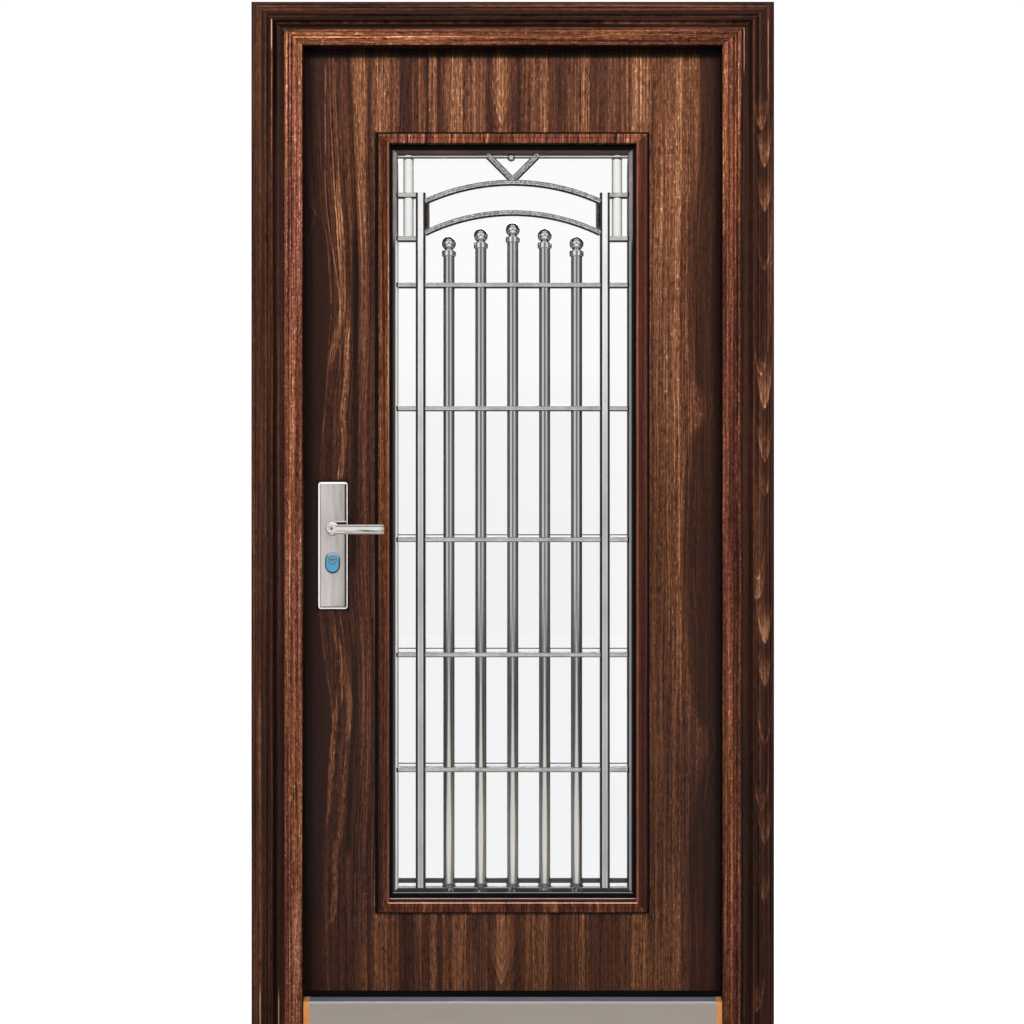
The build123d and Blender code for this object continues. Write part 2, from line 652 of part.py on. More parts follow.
# A collar, a short neck and a ball on top of each tube.
with BuildPart() as grille_finials:
    for i in range(-2, 3):
        z = BALL_Z[abs(i)]
        with BuildSketch(
            Plane(origin=(i * TUBE_PITCH, TUBE_Y, z), x_dir=(1, 0, 0), z_dir=(0, -1, 0))
        ):
            with BuildLine():
                Line((0, -26), (BALL_R - 1, -26))
                Line((BALL_R - 1, -26), (BALL_R, -25))
                Line((BALL_R, -25), (BALL_R, -15.5))
                Line((BALL_R, -15.5), (BALL_R - 1, -14.5))
                Line((BALL_R - 1, -14.5), (8.0, -13.5))
                Line((8.0, -13.5), (8.0, -((BALL_R**2 - 64.0) ** 0.5)))
                ThreePointArc(
                    (8.0, -((BALL_R**2 - 64.0) ** 0.5)), (BALL_R, 0), (0, BALL_R)
                )
                Line((0, BALL_R), (0, -26))
            make_face()
        revolve(axis=Axis((i * TUBE_PITCH, TUBE_Y, z), (0, 0, 1)))
grille_finials.part.label = "grille_finials"

# Two concentric flat arches between the posts, with a short upright between
# them at each end.
ARCH_X = POST_X - POST_W / 2
with BuildPart() as grille_arch:
    with BuildSketch(Plane.XZ.offset(-BAR_Y0 - POST_W)):
        for crown, radius in ((OUTER_CROWN, OUTER_R), (INNER_CROWN, INNER_R)):
            with Locations((0, crown - radius)):
                Circle(radius)
                Circle(radius - ARCH_W, mode=Mode.SUBTRACT)
            with Locations((0, crown - radius - 500)):
                Rectangle(2000, 1000 + 2 * (radius - 70), mode=Mode.SUBTRACT)
        with Locations((ARCH_X - 4, 1631), (4 - ARCH_X, 1631)):
            Rectangle(8, 60)
        with Locations((ARCH_X + 400, 1600), (-ARCH_X - 400, 1600)):
            Rectangle(800, 900, mode=Mode.SUBTRACT)
    extrude(amount=POST_W)
grille_arch.part.label = "grille_arch"

# Two flat bars in a V from the top of the frame down to the arch's crown.
with BuildPart() as grille_v_brace:
    with BuildSketch(Plane.XZ.offset(-BAR_Y0 - POST_W)):
        top = RING_Z1 - RING_W
        with BuildLine():
            Polyline(
                (-61.5, top),
                (-61.5 + top - 1701, 1701),
                (61.5 - top + 1701, 1701),
                (61.5, top),
                (42.4, top),
                (0, top - 42.4),
                (-42.4, top),
                close=True,
            )
        make_face()
        with Locations((0, OUTER_CROWN - OUTER_R)):
            Circle(OUTER_R, mode=Mode.SUBTRACT)
    extrude(amount=POST_W - 4)
grille_v_brace.part.label = "grille_v_brace"

# ------------------------------------------------------------------ lock, handle
with BuildPart() as lock_faceplates:
    with BuildSketch(Plane.YZ.offset(LEAF_L)):
        for centre, tall in EDGE_PLATES:
            with Locations((MID_Y, centre)):
                Rectangle(24, tall)
        with Locations(*[(MID_Y, z) for z in BOLTS_MAIN + [BOLT_HIGH, BOLT_LOW]]):
            Circle(BOLT_R + 0.1, mode=Mode.SUBTRACT)
        with Locations((MID_Y, LATCH_Z)):
            Rectangle(14.2, 22.2, mode=Mode.SUBTRACT)
    extrude(amount=2.5)
lock_faceplates.part.label = "lock_faceplates"

# Five round bolts and the latch, drawn back flush with the leaf's edge.
with BuildPart() as lock_bolts:
    with BuildSketch(Plane.YZ.offset(LEAF_L)):
        with Locations(*[(MID_Y, z) for z in BOLTS_MAIN + [BOLT_HIGH, BOLT_LOW]]):
            Circle(BOLT_R)
    extrude(amount=BOLT_L)
    with BuildSketch(Plane.YZ.offset(LEAF_L)):
        with Locations((MID_Y, LATCH_Z)):
            Rectangle(14, 22)
    extrude(amount=BOLT_L)
lock_bolts.part.label = "lock_bolts"


def handle_plate(face, out):
    """A bevelled plate on the leaf's face at depth face, standing proud towards out."""
    with BuildPart() as plate:
        with Locations((LOCK_X, face + out * PLATE_T / 2, (PLATE_Z0 + PLATE_Z1) / 2)):
            Box(PLATE_W, PLATE_T, PLATE_Z1 - PLATE_Z0)
        fillet(plate.edges().filter_by(Axis.Y), 5.5)
        rim = plate.faces().filter_by(Axis.Y).sort_by(Axis.Y)[-1 if out > 0 else 0]
        chamfer(rim.edges(), 4.5)
        with BuildSketch(Plane.XZ.offset(-face)):
            with Locations((LOCK_X, PIVOT_Z)):
                Circle(NECK_HOLE)
            with Locations((LOCK_X, PLUG_Z)):
                Circle(PLUG_HOLE)
        extrude(amount=-out * PLATE_T, mode=Mode.SUBTRACT)
    return plate.part


def cylinder_guard(face, out):
    """The obround cover round a key plug, on the plate's face at depth face."""
    with BuildPart() as guard:
        with BuildSketch(Plane.XZ.offset(-face)):
            with Locations((LOCK_X, GUARD_Z)):
                SlotOverall(GUARD_H, GUARD_W, rotation=90)
        extrude(amount=-out * GUARD_T)
        rim = guard.faces().filter_by(Axis.Y).sort_by(Axis.Y)[-1 if out > 0 else 0]
        fillet(rim.edges(), 2.5)
        with BuildSketch(Plane.XZ.offset(-face)):
            with Locations((LOCK_X, PLUG_Z)):
                Circle(PLUG_HOLE)
        extrude(amount=-out * GUARD_T, mode=Mode.SUBTRACT)
    return guard.part


def key_plug(inner, outer):
    """A round plug between two depths, with a keyway cut 20 mm in from the outer end."""
    out = 1 if outer > inner else -1
    with BuildPart() as plug:
        with BuildSketch(Plane.XZ.offset(-inner)):
            with Locations((LOCK_X, PLUG_Z)):
                Circle(PLUG_R)
        extrude(amount=inner - outer)
        with BuildSketch(Plane.XZ.offset(-outer)):
            with Locations((LOCK_X, PLUG_Z)):
                Rectangle(10.7, 3.6)
        extrude(amount=out * 20, mode=Mode.SUBTRACT)
    return plug.part


def lever(face, out):
    """A neck through the plate and a flat bar towards the leaf's middle. face is the leaf's face."""
    back = face + out * LEVER_REACH
    with BuildPart() as handle:
        with BuildSketch(Plane.XZ.offset(-(face + out * 1.0))):
            with Locations((LOCK_X, PIVOT_Z)):
                Circle(NECK_R)
        extrude(amount=-out * (LEVER_REACH - 1.0))
        with BuildSketch(Plane.XZ.offset(-back)):
            with Locations((LOCK_X, PIVOT_Z)):
                Circle(BAR_H / 2)
            with Locations(((LOCK_X + BAR_TIP) / 2, PIVOT_Z)):
                Rectangle(BAR_TIP - LOCK_X, BAR_H)
        extrude(amount=-out * BAR_T)
        front = handle.faces().filter_by(Axis.Y).sort_by(Axis.Y)[-1 if out > 0 else 0]
        tip = front.edges().filter_by(Axis.Z).sort_by(Axis.X)[-1]
        chamfer(tip, 6.0)
        front = handle.faces().filter_by(Axis.Y).sort_by(Axis.Y)[-1 if out > 0 else 0]
        chamfer(front.edges().filter_by(Axis.Z, reverse=True), 1.2)
    return handle.part


with BuildPart() as handle_plate_front:
    add(handle_plate(LEAF_FRONT, -1))
handle_plate_front.part.label = "handle_plate_front"

with BuildPart() as handle_plate_back:
    add(handle_plate(LEAF_BACK, 1))
handle_plate_back.part.label = "handle_plate_back"

with BuildPart() as cylinder_guard_front:
    add(cylinder_guard(LEAF_FRONT - PLATE_T, -1))
cylinder_guard_front.part.label = "cylinder_guard_front"

with BuildPart() as cylinder_guard_back:
    add(cylinder_guard(LEAF_BACK + PLATE_T, 1))
cylinder_guard_back.part.label = "cylinder_guard_back"

with BuildPart() as cylinder_plug_front:
    add(key_plug(45.0, LEAF_FRONT - PLATE_T - GUARD_T - 0.5))
cylinder_plug_front.part.label = "cylinder_plug_front"

with BuildPart() as cylinder_plug_back:
    add(key_plug(69.0, LEAF_BACK + PLATE_T + GUARD_T + 0.5))
cylinder_plug_back.part.label = "cylinder_plug_back"

with BuildPart() as lever_front:
    add(lever(LEAF_FRONT, -1))
lever_front.part.label = "lever_front"

with BuildPart() as lever_back:
    add(lever(LEAF_BACK, 1))
lever_back.part.label = "lever_back"

with BuildPart() as spindle:
    with Locations((LOCK_X, MID_Y, PIVOT_Z)):
        Box(8, LEAF_BACK - LEAF_FRONT + 2, 8)
spindle.part.label = "spindle"

for piece in (
    casing_left,
    casing_right,
    casing_head,
    jamb_lock_side,
    jamb_hinge_side,
    jamb_head,
    jamb_lock_web,
    jamb_lock_core,
    strike_boxes,
    jamb_hinge_web,
    jamb_head_web,
    threshold,
    threshold_end_caps,
    frame_seals,
    strike_plates,
    hinge_frame_leaves,
    hinge_pins,
    hinge_door_leaves,
    leaf_lock_stile,
    leaf_hinge_stile,
    leaf_top_rail,
    leaf_bottom_rail,
    leaf_front_sheet,
    leaf_back_sheet,
    bottom_sweep,
    bead_front_sides,
    bead_front_ends,
    bead_back_sides,
    bead_back_ends,
    window_gasket_sides,
    window_gasket_ends,
    glass_pane,
    grille_frame_sides,
    grille_frame_ends,
    grille_posts,
    grille_crossbars,
    grille_side_bars,
    grille_tubes,
    grille_finials,
    grille_arch,
    grille_v_brace,
    lock_faceplates,
    lock_bolts,
    handle_plate_front,
    handle_plate_back,
    cylinder_guard_front,
    cylinder_guard_back,
    cylinder_plug_front,
    cylinder_plug_back,
    lever_front,
    lever_back,
    spindle,
):
    export_step(piece.part, f"parts/{piece.part.label}.step")
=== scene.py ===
import math

import bmesh
import bpy
from mathutils import Matrix, Vector


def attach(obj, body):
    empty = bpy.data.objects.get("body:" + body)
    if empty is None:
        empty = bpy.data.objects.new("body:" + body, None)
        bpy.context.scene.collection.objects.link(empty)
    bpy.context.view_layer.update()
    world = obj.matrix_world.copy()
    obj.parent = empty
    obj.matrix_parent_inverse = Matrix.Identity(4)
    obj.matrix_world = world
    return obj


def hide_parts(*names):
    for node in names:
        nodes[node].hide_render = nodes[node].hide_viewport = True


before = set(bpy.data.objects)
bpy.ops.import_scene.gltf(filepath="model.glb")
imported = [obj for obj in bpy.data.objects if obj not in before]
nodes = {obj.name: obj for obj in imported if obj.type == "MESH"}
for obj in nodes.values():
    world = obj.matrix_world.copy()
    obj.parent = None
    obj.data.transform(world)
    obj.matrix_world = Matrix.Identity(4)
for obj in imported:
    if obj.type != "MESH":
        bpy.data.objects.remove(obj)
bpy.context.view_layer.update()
scene = bpy.context.scene

# ------------------------------------------------------------------- node helper


class Sock:
    """A shader socket that arithmetic can be done with."""

    def __init__(self, g, s):
        self.g, self.s = g, s

    def __add__(self, o):
        return self.g.math("ADD", self, o)

    __radd__ = __add__

    def __mul__(self, o):
        return self.g.math("MULTIPLY", self, o)

    __rmul__ = __mul__

    def __sub__(self, o):
        return self.g.math("SUBTRACT", self, o)

    def __rsub__(self, o):
        return self.g.math("SUBTRACT", o, self)

    def __truediv__(self, o):
        return self.g.math("DIVIDE", self, o)

    def __neg__(self):
        return self.g.math("MULTIPLY", self, -1.0)


class Graph:
    """One material's node tree, with short calls for the nodes used here."""

    def __init__(self, name):
        self.mat = bpy.data.materials.new(name)
        self.mat.use_nodes = True
        self.t = self.mat.node_tree
        self.t.nodes.clear()
        self.out = self.t.nodes.new("ShaderNodeOutputMaterial")
        self.bsdf = self.t.nodes.new("ShaderNodeBsdfPrincipled")
        self.t.links.new(self.bsdf.outputs[0], self.out.inputs[0])
        self._coord = None

    def new(self, kind):
        return self.t.nodes.new(kind)

    def put(self, value, socket):
        if isinstance(value, Sock):
            self.t.links.new(value.s, socket)
        else:
            socket.default_value = value

    def math(self, op, a, b=0.0, c=None, clamp=False):
        n = self.new("ShaderNodeMath")
        n.operation = op
        n.use_clamp = clamp
        self.put(a, n.inputs[0])
        self.put(b, n.inputs[1])
        if c is not None:
            self.put(c, n.inputs[2])
        return Sock(self, n.outputs[0])

    def clamp(self, a):
        return self.math("ADD", a, 0.0, clamp=True)

    def abs(self, a):
        return self.math("ABSOLUTE", a)

    def xyz(self):
        if self._coord is None:
            c = self.new("ShaderNodeTexCoord")
            s = self.new("ShaderNodeSeparateXYZ")
            self.t.links.new(c.outputs["Object"], s.inputs[0])
            self._coord = [Sock(self, o) for o in s.outputs]
        return self._coord

    def vec(self, x, y, z):
        n = self.new("ShaderNodeCombineXYZ")
        for v, s in zip((x, y, z), n.inputs):
            self.put(v, s)
        return Sock(self, n.outputs[0])

    def noise(self, u, v, su, sv, seed=0.0, detail=2.0, rough=0.5, distort=0.0):
        n = self.new("ShaderNodeTexNoise")
        n.inputs["Scale"].default_value = 1.0
        n.inputs["Detail"].default_value = detail
        n.inputs["Roughness"].default_value = rough
        n.inputs["Distortion"].default_value = distort
        self.put(self.vec(u * su, v * sv, seed), n.inputs["Vector"])
        return Sock(self, n.outputs[0])

    def noise3(self, scale, detail=2.0, rough=0.5, stretch=(1, 1, 1)):
        x, y, z = self.xyz()
        n = self.new("ShaderNodeTexNoise")
        n.inputs["Scale"].default_value = scale
        n.inputs["Detail"].default_value = detail
        n.inputs["Roughness"].default_value = rough
        self.put(
            self.vec(x * stretch[0], y * stretch[1], z * stretch[2]), n.inputs["Vector"]
        )
        return Sock(self, n.outputs[0])

    def step(self, x, lo, hi):
        """0 below lo, 1 above hi, smooth between. With lo over hi it falls instead."""
        n = self.new("ShaderNodeMapRange")
        n.interpolation_type = "SMOOTHSTEP"
        self.put(x, n.inputs["Value"])
        if lo <= hi:
            a, b, c, d = lo, hi, 0.0, 1.0
        else:
            a, b, c, d = hi, lo, 1.0, 0.0
        n.inputs["From Min"].default_value = a
        n.inputs["From Max"].default_value = b
        n.inputs["To Min"].default_value = c
        n.inputs["To Max"].default_value = d
        return Sock(self, n.outputs[0])

    def bump_at(self, x, centre, half):
        """1 at centre, 0 at half to each side."""
        return self.step(self.abs(x - centre), half, 0.0)

    def curve(self, x, lo, hi, points, vlo, vhi):
        """A curve drawn through given points: points are (x, value), x from lo to hi, value from vlo to vhi."""
        t = self.clamp((x - lo) / (hi - lo))
        n = self.new("ShaderNodeFloatCurve")
        self.put(t, n.inputs["Value"])
        c = n.mapping.curves[0]
        pts = sorted(((px - lo) / (hi - lo), (pv - vlo) / (vhi - vlo)) for px, pv in points)
        c.points[0].location = pts[0]
        c.points[1].location = pts[-1]
        for p in pts[1:-1]:
            c.points.new(*p)
        n.mapping.update()
        return Sock(self, n.outputs[0]) * (vhi - vlo) + vlo

    def ramp(self, fac, stops, mode="LINEAR"):
        n = self.new("ShaderNodeValToRGB")
        n.color_ramp.interpolation = mode
        self.put(fac, n.inputs[0])
        e = n.color_ramp.elements
        while len(e) > 1:
            e.remove(e[-1])
        e[0].position = stops[0][0]
        e[0].color = (*stops[0][1], 1.0)
        for p, c in stops[1:]:
            e.new(p).color = (*c, 1.0)
        return Sock(self, n.outputs[0])

    def mix_col(self, fac, a, b):
        n = self.new("ShaderNodeMix")
        n.data_type = "RGBA"
        self.put(fac, n.inputs[0])
        self.put(a if isinstance(a, Sock) else (*a, 1.0), n.inputs[6])
        self.put(b if isinstance(b, Sock) else (*b, 1.0), n.inputs[7])
        return Sock(self, n.outputs[2])

    def bump(self, height, distance, strength=1.0):
        n = self.new("ShaderNodeBump")
        n.inputs["Strength"].default_value = strength
        n.inputs["Distance"].default_value = distance
        self.put(height, n.inputs["Height"])
        self.put(Sock(self, n.outputs[0]), self.bsdf.inputs["Normal"])

    def set(self, **values):
        for k, v in values.items():
            self.put(v, self.bsdf.inputs[k.replace("_", " ")])


def srgb(r, g, b):
    def lin(c):
        c /= 255
        return c / 12.92 if c <= 0.04045 else ((c + 0.055) / 1.055) ** 2.4

    return (lin(r), lin(g), lin(b))


# -------------------------------------------------------------------------- wood
# Tones of the wood, from the darkest pores to the lightest streaks: first the
# purple-brown ground, then the warmer bands, then the redder and more orange frame.
COOL = [
    (0.0, srgb(15, 8, 6)),
    (0.16, srgb(43, 24, 18)),
    (0.32, srgb(70, 40, 30)),
    (0.5, srgb(99, 61, 47)),
    (0.66, srgb(130, 86, 69)),
    (0.82, srgb(163, 118, 98)),
    (1.0, srgb(204, 168, 150)),
]
WARM = [
    (0.0, srgb(17, 9, 5)),
    (0.16, srgb(46, 26, 16)),
    (0.32, srgb(76, 45, 28)),
    (0.5, srgb(108, 68, 45)),
    (0.66, srgb(140, 94, 66)),
    (0.82, srgb(173, 125, 93)),
    (1.0, srgb(212, 167, 136)),
]
RED = [
    (0.0, srgb(22, 10, 8)),
    (0.16, srgb(56, 27, 21)),
    (0.32, srgb(90, 48, 37)),
    (0.5, srgb(126, 74, 58)),
    (0.66, srgb(160, 104, 86)),
    (0.82, srgb(196, 142, 124)),
    (1.0, srgb(232, 190, 172)),
]
ORANGE = [
    (0.0, srgb(24, 11, 6)),
    (0.16, srgb(58, 31, 18)),
    (0.32, srgb(93, 53, 31)),
    (0.5, srgb(130, 79, 48)),
    (0.66, srgb(162, 104, 68)),
    (0.82, srgb(200, 140, 98)),
    (1.0, srgb(234, 184, 144)),
]
# The leaf's bands: (place across, half width, how much lighter than the ground)
LEAF_BANDS = [
    (-0.372, 0.014, 0.10),
    (-0.346, 0.008, 0.08),
    (-0.314, 0.014, 0.27),
    (-0.270, 0.019, 0.33),
    (-0.245, 0.009, 0.20),
    (-0.204, 0.008, 0.09),
    (-0.188, 0.008, 0.14),
    (-0.167, 0.008, 0.31),
    (-0.136, 0.014, 0.22),
    (-0.116, 0.017, 0.33),
    (-0.090, 0.013, 0.26),
    (-0.066, 0.010, 0.18),
    (-0.028, 0.017, 0.32),
    (0.020, 0.010, 0.16),
    (0.036, 0.009, 0.29),
    (0.058, 0.010, 0.31),
    (0.106, 0.009, 0.10),
    (0.122, 0.009, 0.20),
    (0.139, 0.012, 0.34),
    (0.196, 0.010, 0.07),
    (0.222, 0.008, 0.20),
    (0.245, 0.013, 0.43),
    (0.266, 0.010, 0.34),
    (0.289, 0.010, 0.36),
    (0.308, 0.009, 0.32),
    (0.325, 0.010, 0.44),
    (0.345, 0.009, 0.24),
    (0.363, 0.011, 0.27),
    (0.382, 0.011, 0.18),
]
# How those bands fade down the leaf, beside the lock and beside the hinges
FADE_LOCK = [
    (0.03, 0.95),
    (0.20, 0.85),
    (0.32, 0.60),
    (0.60, 0.52),
    (1.00, 0.50),
    (1.30, 0.52),
    (1.52, 0.70),
    (1.70, 0.92),
    (1.98, 1.0),
]
FADE_HINGE = [
    (0.03, 0.95),
    (0.20, 0.80),
    (0.34, 0.60),
    (0.62, 0.58),
    (0.90, 0.80),
    (1.30, 0.88),
    (1.60, 1.0),
    (1.98, 1.0),
]
# Painted highlights on the crests and painted shade in the hollows of the frame's
# mouldings: (distance in from the moulding's outer edge, half width, how much lighter or darker)
CASING_LINES = [
    (0.0030, 0.0030, -0.05),
    (0.0095, 0.0026, 0.13),
    (0.0165, 0.0028, 0.10),
    (0.0230, 0.0034, -0.04),
    (0.0295, 0.0016, 0.13),
    (0.0350, 0.0030, -0.10),
    (0.0412, 0.0019, 0.34),
    (0.0470, 0.0040, -0.22),
    (0.0535, 0.0030, 0.06),
    (0.0600, 0.0034, -0.12),
]
# the same painted highlights and shade for the jambs' mouldings
JAMB_LINES = [
    (0.0040, 0.0048, 0.05),
    (0.0105, 0.0020, -0.13),
    (0.0140, 0.0016, 0.17),
    (0.0170, 0.0018, -0.08),
    (0.0225, 0.0038, 0.10),
    (0.0285, 0.0024, -0.13),
    (0.0380, 0.0014, 0.12),
]
# Light figures that wind down the lock stile: (line as (height, place across), half
# width, lift)
STREAKS = [
    (
        [(1.740, -0.3602), (1.635, -0.3501), (1.534, -0.3450), (1.457, -0.3430), (1.383, -0.3552), (1.316, -0.3754)],
        0.0070,
        0.18,
    ),
    (
        [(1.480, -0.3329), (1.356, -0.3349), (1.282, -0.3376), (1.215, -0.3430), (1.181, -0.3410), (1.130, -0.3461), (1.080, -0.3550)],
        0.0060,
        0.25,
    ),
    ([(0.860, -0.3760), (0.800, -0.3600), (0.745, -0.3500), (0.669, -0.3471), (0.595, -0.3622), (0.493, -0.3653), (0.386, -0.3794)], 0.0052, 0.16),
    (
        [(0.780, -0.3430), (0.696, -0.3369), (0.629, -0.3289), (0.558, -0.3390), (0.467, -0.3450), (0.386, -0.3491), (0.336, -0.3572), (0.265, -0.3572), (0.180, -0.3754)],
        0.0062,
        0.15,
    ),
    ([(1.640, -0.3180), (1.400, -0.3180), (1.280, -0.3160), (1.100, -0.3200), (0.900, -0.3230)], 0.0050, -0.15),
    ([(0.800, -0.3220), (0.640, -0.3190), (0.500, -0.3280), (0.330, -0.3340)], 0.0045, -0.12),
]
# Pointed figures down the hinge side's casing: (height of the point, which line
# across, height of the fill, fill, outline)
POINTS = [
    (1.791, 1, 0.050, 0.16, 0.16),
    (1.7175, 2, 0.060, 0.22, 0.10),
    (1.6277, 2, 0.050, 0.18, 0.08),
    (1.512, 2, 0.020, 0.03, 0.18),
    (1.302, 1, 0.030, 0.06, 0.20),
    (1.2346, 2, 0.075, 0.24, 0.10),
    (1.129, 2, 0.060, 0.12, 0.16),
    (1.057, 2, 0.040, 0.10, 0.0),
    (0.893, 0, 0.020, 0.0, 0.18),
    (0.853, 0, 0.040, 0.10, 0.20),
    (0.7656, 2, 0.060, 0.26, 0.08),
    (0.680, 2, 0.050, 0.18, 0.08),
    (0.566, 2, 0.020, 0.04, 0.17),
    (0.432, 1, 0.040, 0.08, 0.16),
    (0.366, 2, 0.050, 0.10, 0.12),
    (0.2527, 2, 0.040, 0.09, 0.06),
    (0.030, 0, 0.050, 0.08, 0.16),
]


def lines_at(g, across, table):
    total = None
    for at, half, lift in table:
        b = g.bump_at(across, at, half * 1.4) * lift
        total = b if total is None else total + b
    return total


def wood(name, axis, kind, cool, warm, ground, seed, contrast=1.0, spread=1.0):
    """Wood-grain transfer. axis is the way the grain runs. kind adds what that member shows."""
    g = Graph(name)
    x, y, z = g.xyz()
    if axis == "Z":
        u0, v = x + (y - 0.027) * 0.35, z
    else:
        u0, v = z + y * 0.35, x
    wide = {"leaf": 1.0, "casing": 0.4, "jamb": 0.25, "bead": 0.25}[kind]
    n1 = g.noise(u0, v, 3.2, 0.9, seed + 1.3, 1.0) - 0.5
    n2 = g.noise(u0, v, 15.0, 3.2, seed + 5.1, 2.0) - 0.5
    n3 = g.noise(u0, v, 62.0, 11.0, seed + 9.7, 2.0) - 0.5
    u = u0 + n1 * (0.008 * wide) + n2 * (0.007 * wide) + n3 * 0.0022
    slow = g.noise(u, v, 9.0, 1.5, seed + 21.0, 2.0)

    if kind == "leaf":
        # the lock stile's lines sway to the right beside the dark heartwood
        sway = g.curve(
            v,
            0.03,
            1.98,
            [
                (0.03, 0.0),
                (0.30, -0.004),
                (0.45, 0.006),
                (0.60, 0.018),
                (0.72, 0.018),
                (0.84, 0.008),
                (1.00, 0.000),
                (1.15, -0.002),
                (1.26, 0.002),
                (1.36, 0.014),
                (1.46, 0.020),
                (1.58, 0.016),
                (1.70, 0.006),
                (1.82, 0.0),
                (1.98, -0.004),
            ],
            -0.03,
            0.03,
        )
        near = g.step(g.abs(x + 0.375), 0.125, 0.03)
        u = u - sway * near
        bands = None
        for c, half, lift in LEAF_BANDS:
            b = g.step(g.abs(u - (c + 0.006)), half * 1.32, half * 0.62) * (lift * 0.90)
            bands = b if bands is None else g.math("MAXIMUM", bands, b)
        fade_l = g.curve(v, 0.03, 1.98, FADE_LOCK, 0.0, 1.2)
        fade_r = g.curve(v, 0.03, 1.98, FADE_HINGE, 0.0, 1.2)
        side = g.step(x, -0.15, 0.22)
        fade = fade_l + (fade_r - fade_l) * side
        left = g.step(x, -0.300, -0.312)
        quiet = left * g.step(v, 1.62, 1.50) * 0.62
        tone = bands * (1.0 - quiet) * fade * (slow * 1.1 + 0.42) * (1.0 - side * 0.40)
        tone = tone + side * fade_r * 0.075
        wander = x + n2 * 0.008 + n3 * 0.003
        for line, half, lift in STREAKS:
            top, foot = line[0][0], line[-1][0]
            at = g.curve(v, foot, top, line, -0.40, -0.30)
            b = g.step(g.abs(wander - at), half * 1.25, half * 0.70)
            b = b * g.step(v, foot - 0.004, foot + 0.03) * g.step(v, top + 0.004, top - 0.10)
            tone = tone + b * (slow * 0.8 + 0.6) * lift
    elif kind == "casing":
        b1 = g.noise(u, v, 46.0, 0.8, seed + 31.0, 2.0, 0.6)
        tone = g.step(b1, 0.44, 0.70) * 0.20
        across = 0.523 - g.abs(x) if axis == "Z" else 2.050 - z
        # painted highlights and shade along the mouldings, stronger high up where more light falls
        high = g.step(z, 1.68, 1.96) * 0.62 + 0.38
        tone = tone + lines_at(g, across, CASING_LINES) * (slow * 1.2 + 0.45) * high
    elif kind == "jamb":
        b1 = g.noise(u, v, 60.0, 0.9, seed + 33.0, 2.0, 0.6)
        tone = g.step(b1, 0.38, 0.70) * 0.18
        across = 0.4595 - g.abs(x) if axis == "Z" else 2.0005 - z
        # painted highlights and shade along the jamb's mouldings, stronger high up where more light falls
        high = g.step(z, 1.50, 1.90) * 0.72 + 0.28
        tone = tone + lines_at(g, across, JAMB_LINES) * (slow * 1.2 + 0.40) * high
        grit = g.noise(u0, v, 330.0, 180.0, seed + 37.0, 1.0) - 0.5
        # painted shade darkens the jamb's outer edge beside the casing
        tone = tone + grit * 0.50 - g.step(across, 0.0046, 0.0010) * 0.20
    else:
        b1 = g.noise(u, v, 60.0, 1.2, seed + 35.0, 2.0, 0.6)
        tone = g.step(b1, 0.36, 0.68) * 0.20

    # fibres: long ones about 10 mm apart, fine ones, hair lines and short dashes
    fa = g.noise(u, v, 90.0, 1.2, seed + 41.0, 2.0, 0.6) - 0.5
    fb = g.noise(u, v, 230.0, 2.4, seed + 43.0, 1.0, 0.5) - 0.5
    fc = g.noise(u, v, 340.0, 60.0, seed + 45.0, 1.0, 0.6) - 0.5
    fd = g.noise(u, v, 270.0, 12.0, seed + 47.0, 1.0, 0.5) - 0.5
    hair = g.step(g.noise(u, v, 400.0, 2.0, seed + 55.0, 1.0), 0.57, 0.64)
    gap = g.step(g.noise(u, v, 360.0, 1.6, seed + 57.0, 1.0), 0.57, 0.65)
    base = tone + ground
    depth = g.clamp(base * 1.15 + 0.02)
    body = base + depth * (fa * 1.0 + fb * 1.35 + fc * 1.35 + fd * 0.9) * contrast
    body = body + depth * (hair * 0.42 - gap * 0.40) * contrast
    if kind == "leaf":
        body = base + (body - base) * (0.92 - side * 0.15)
    # light streaks, broken into dashes, in places
    patch = g.step(g.noise(u0, v, 11.0, 4.0, seed + 49.0, 1.0), 0.40, 0.62)
    line = g.step(g.noise(u, v, 200.0, 2.2, seed + 51.0, 1.0), 0.58, 0.68)
    dash = g.step(g.noise(u, v, 300.0, 62.0, seed + 53.0, 1.0), 0.44, 0.60)
    body = body + line * dash * (patch * 0.8 + 0.2) * depth * (0.40 * contrast)
    # pores and short light flecks
    pore = g.step(g.noise(u, v, 340.0, 44.0, seed + 61.0, 1.0), 0.58, 0.68)
    body = body - pore * depth * (0.36 * contrast)
    fleck = g.step(g.noise(u, v, 290.0, 130.0, seed + 63.0, 0.0), 0.66, 0.76)
    body = body + fleck * depth * (0.38 * contrast)
    hue = g.clamp(tone * 2.6 + (slow - 0.5) * 2.0 + fa * 0.8 + 0.18)
    shade = 1.0

    if kind == "leaf":
        w = n3 * 0.006 + n2 * 0.012
        front = g.step(g.abs(y - 0.027), 0.03, 0.012)
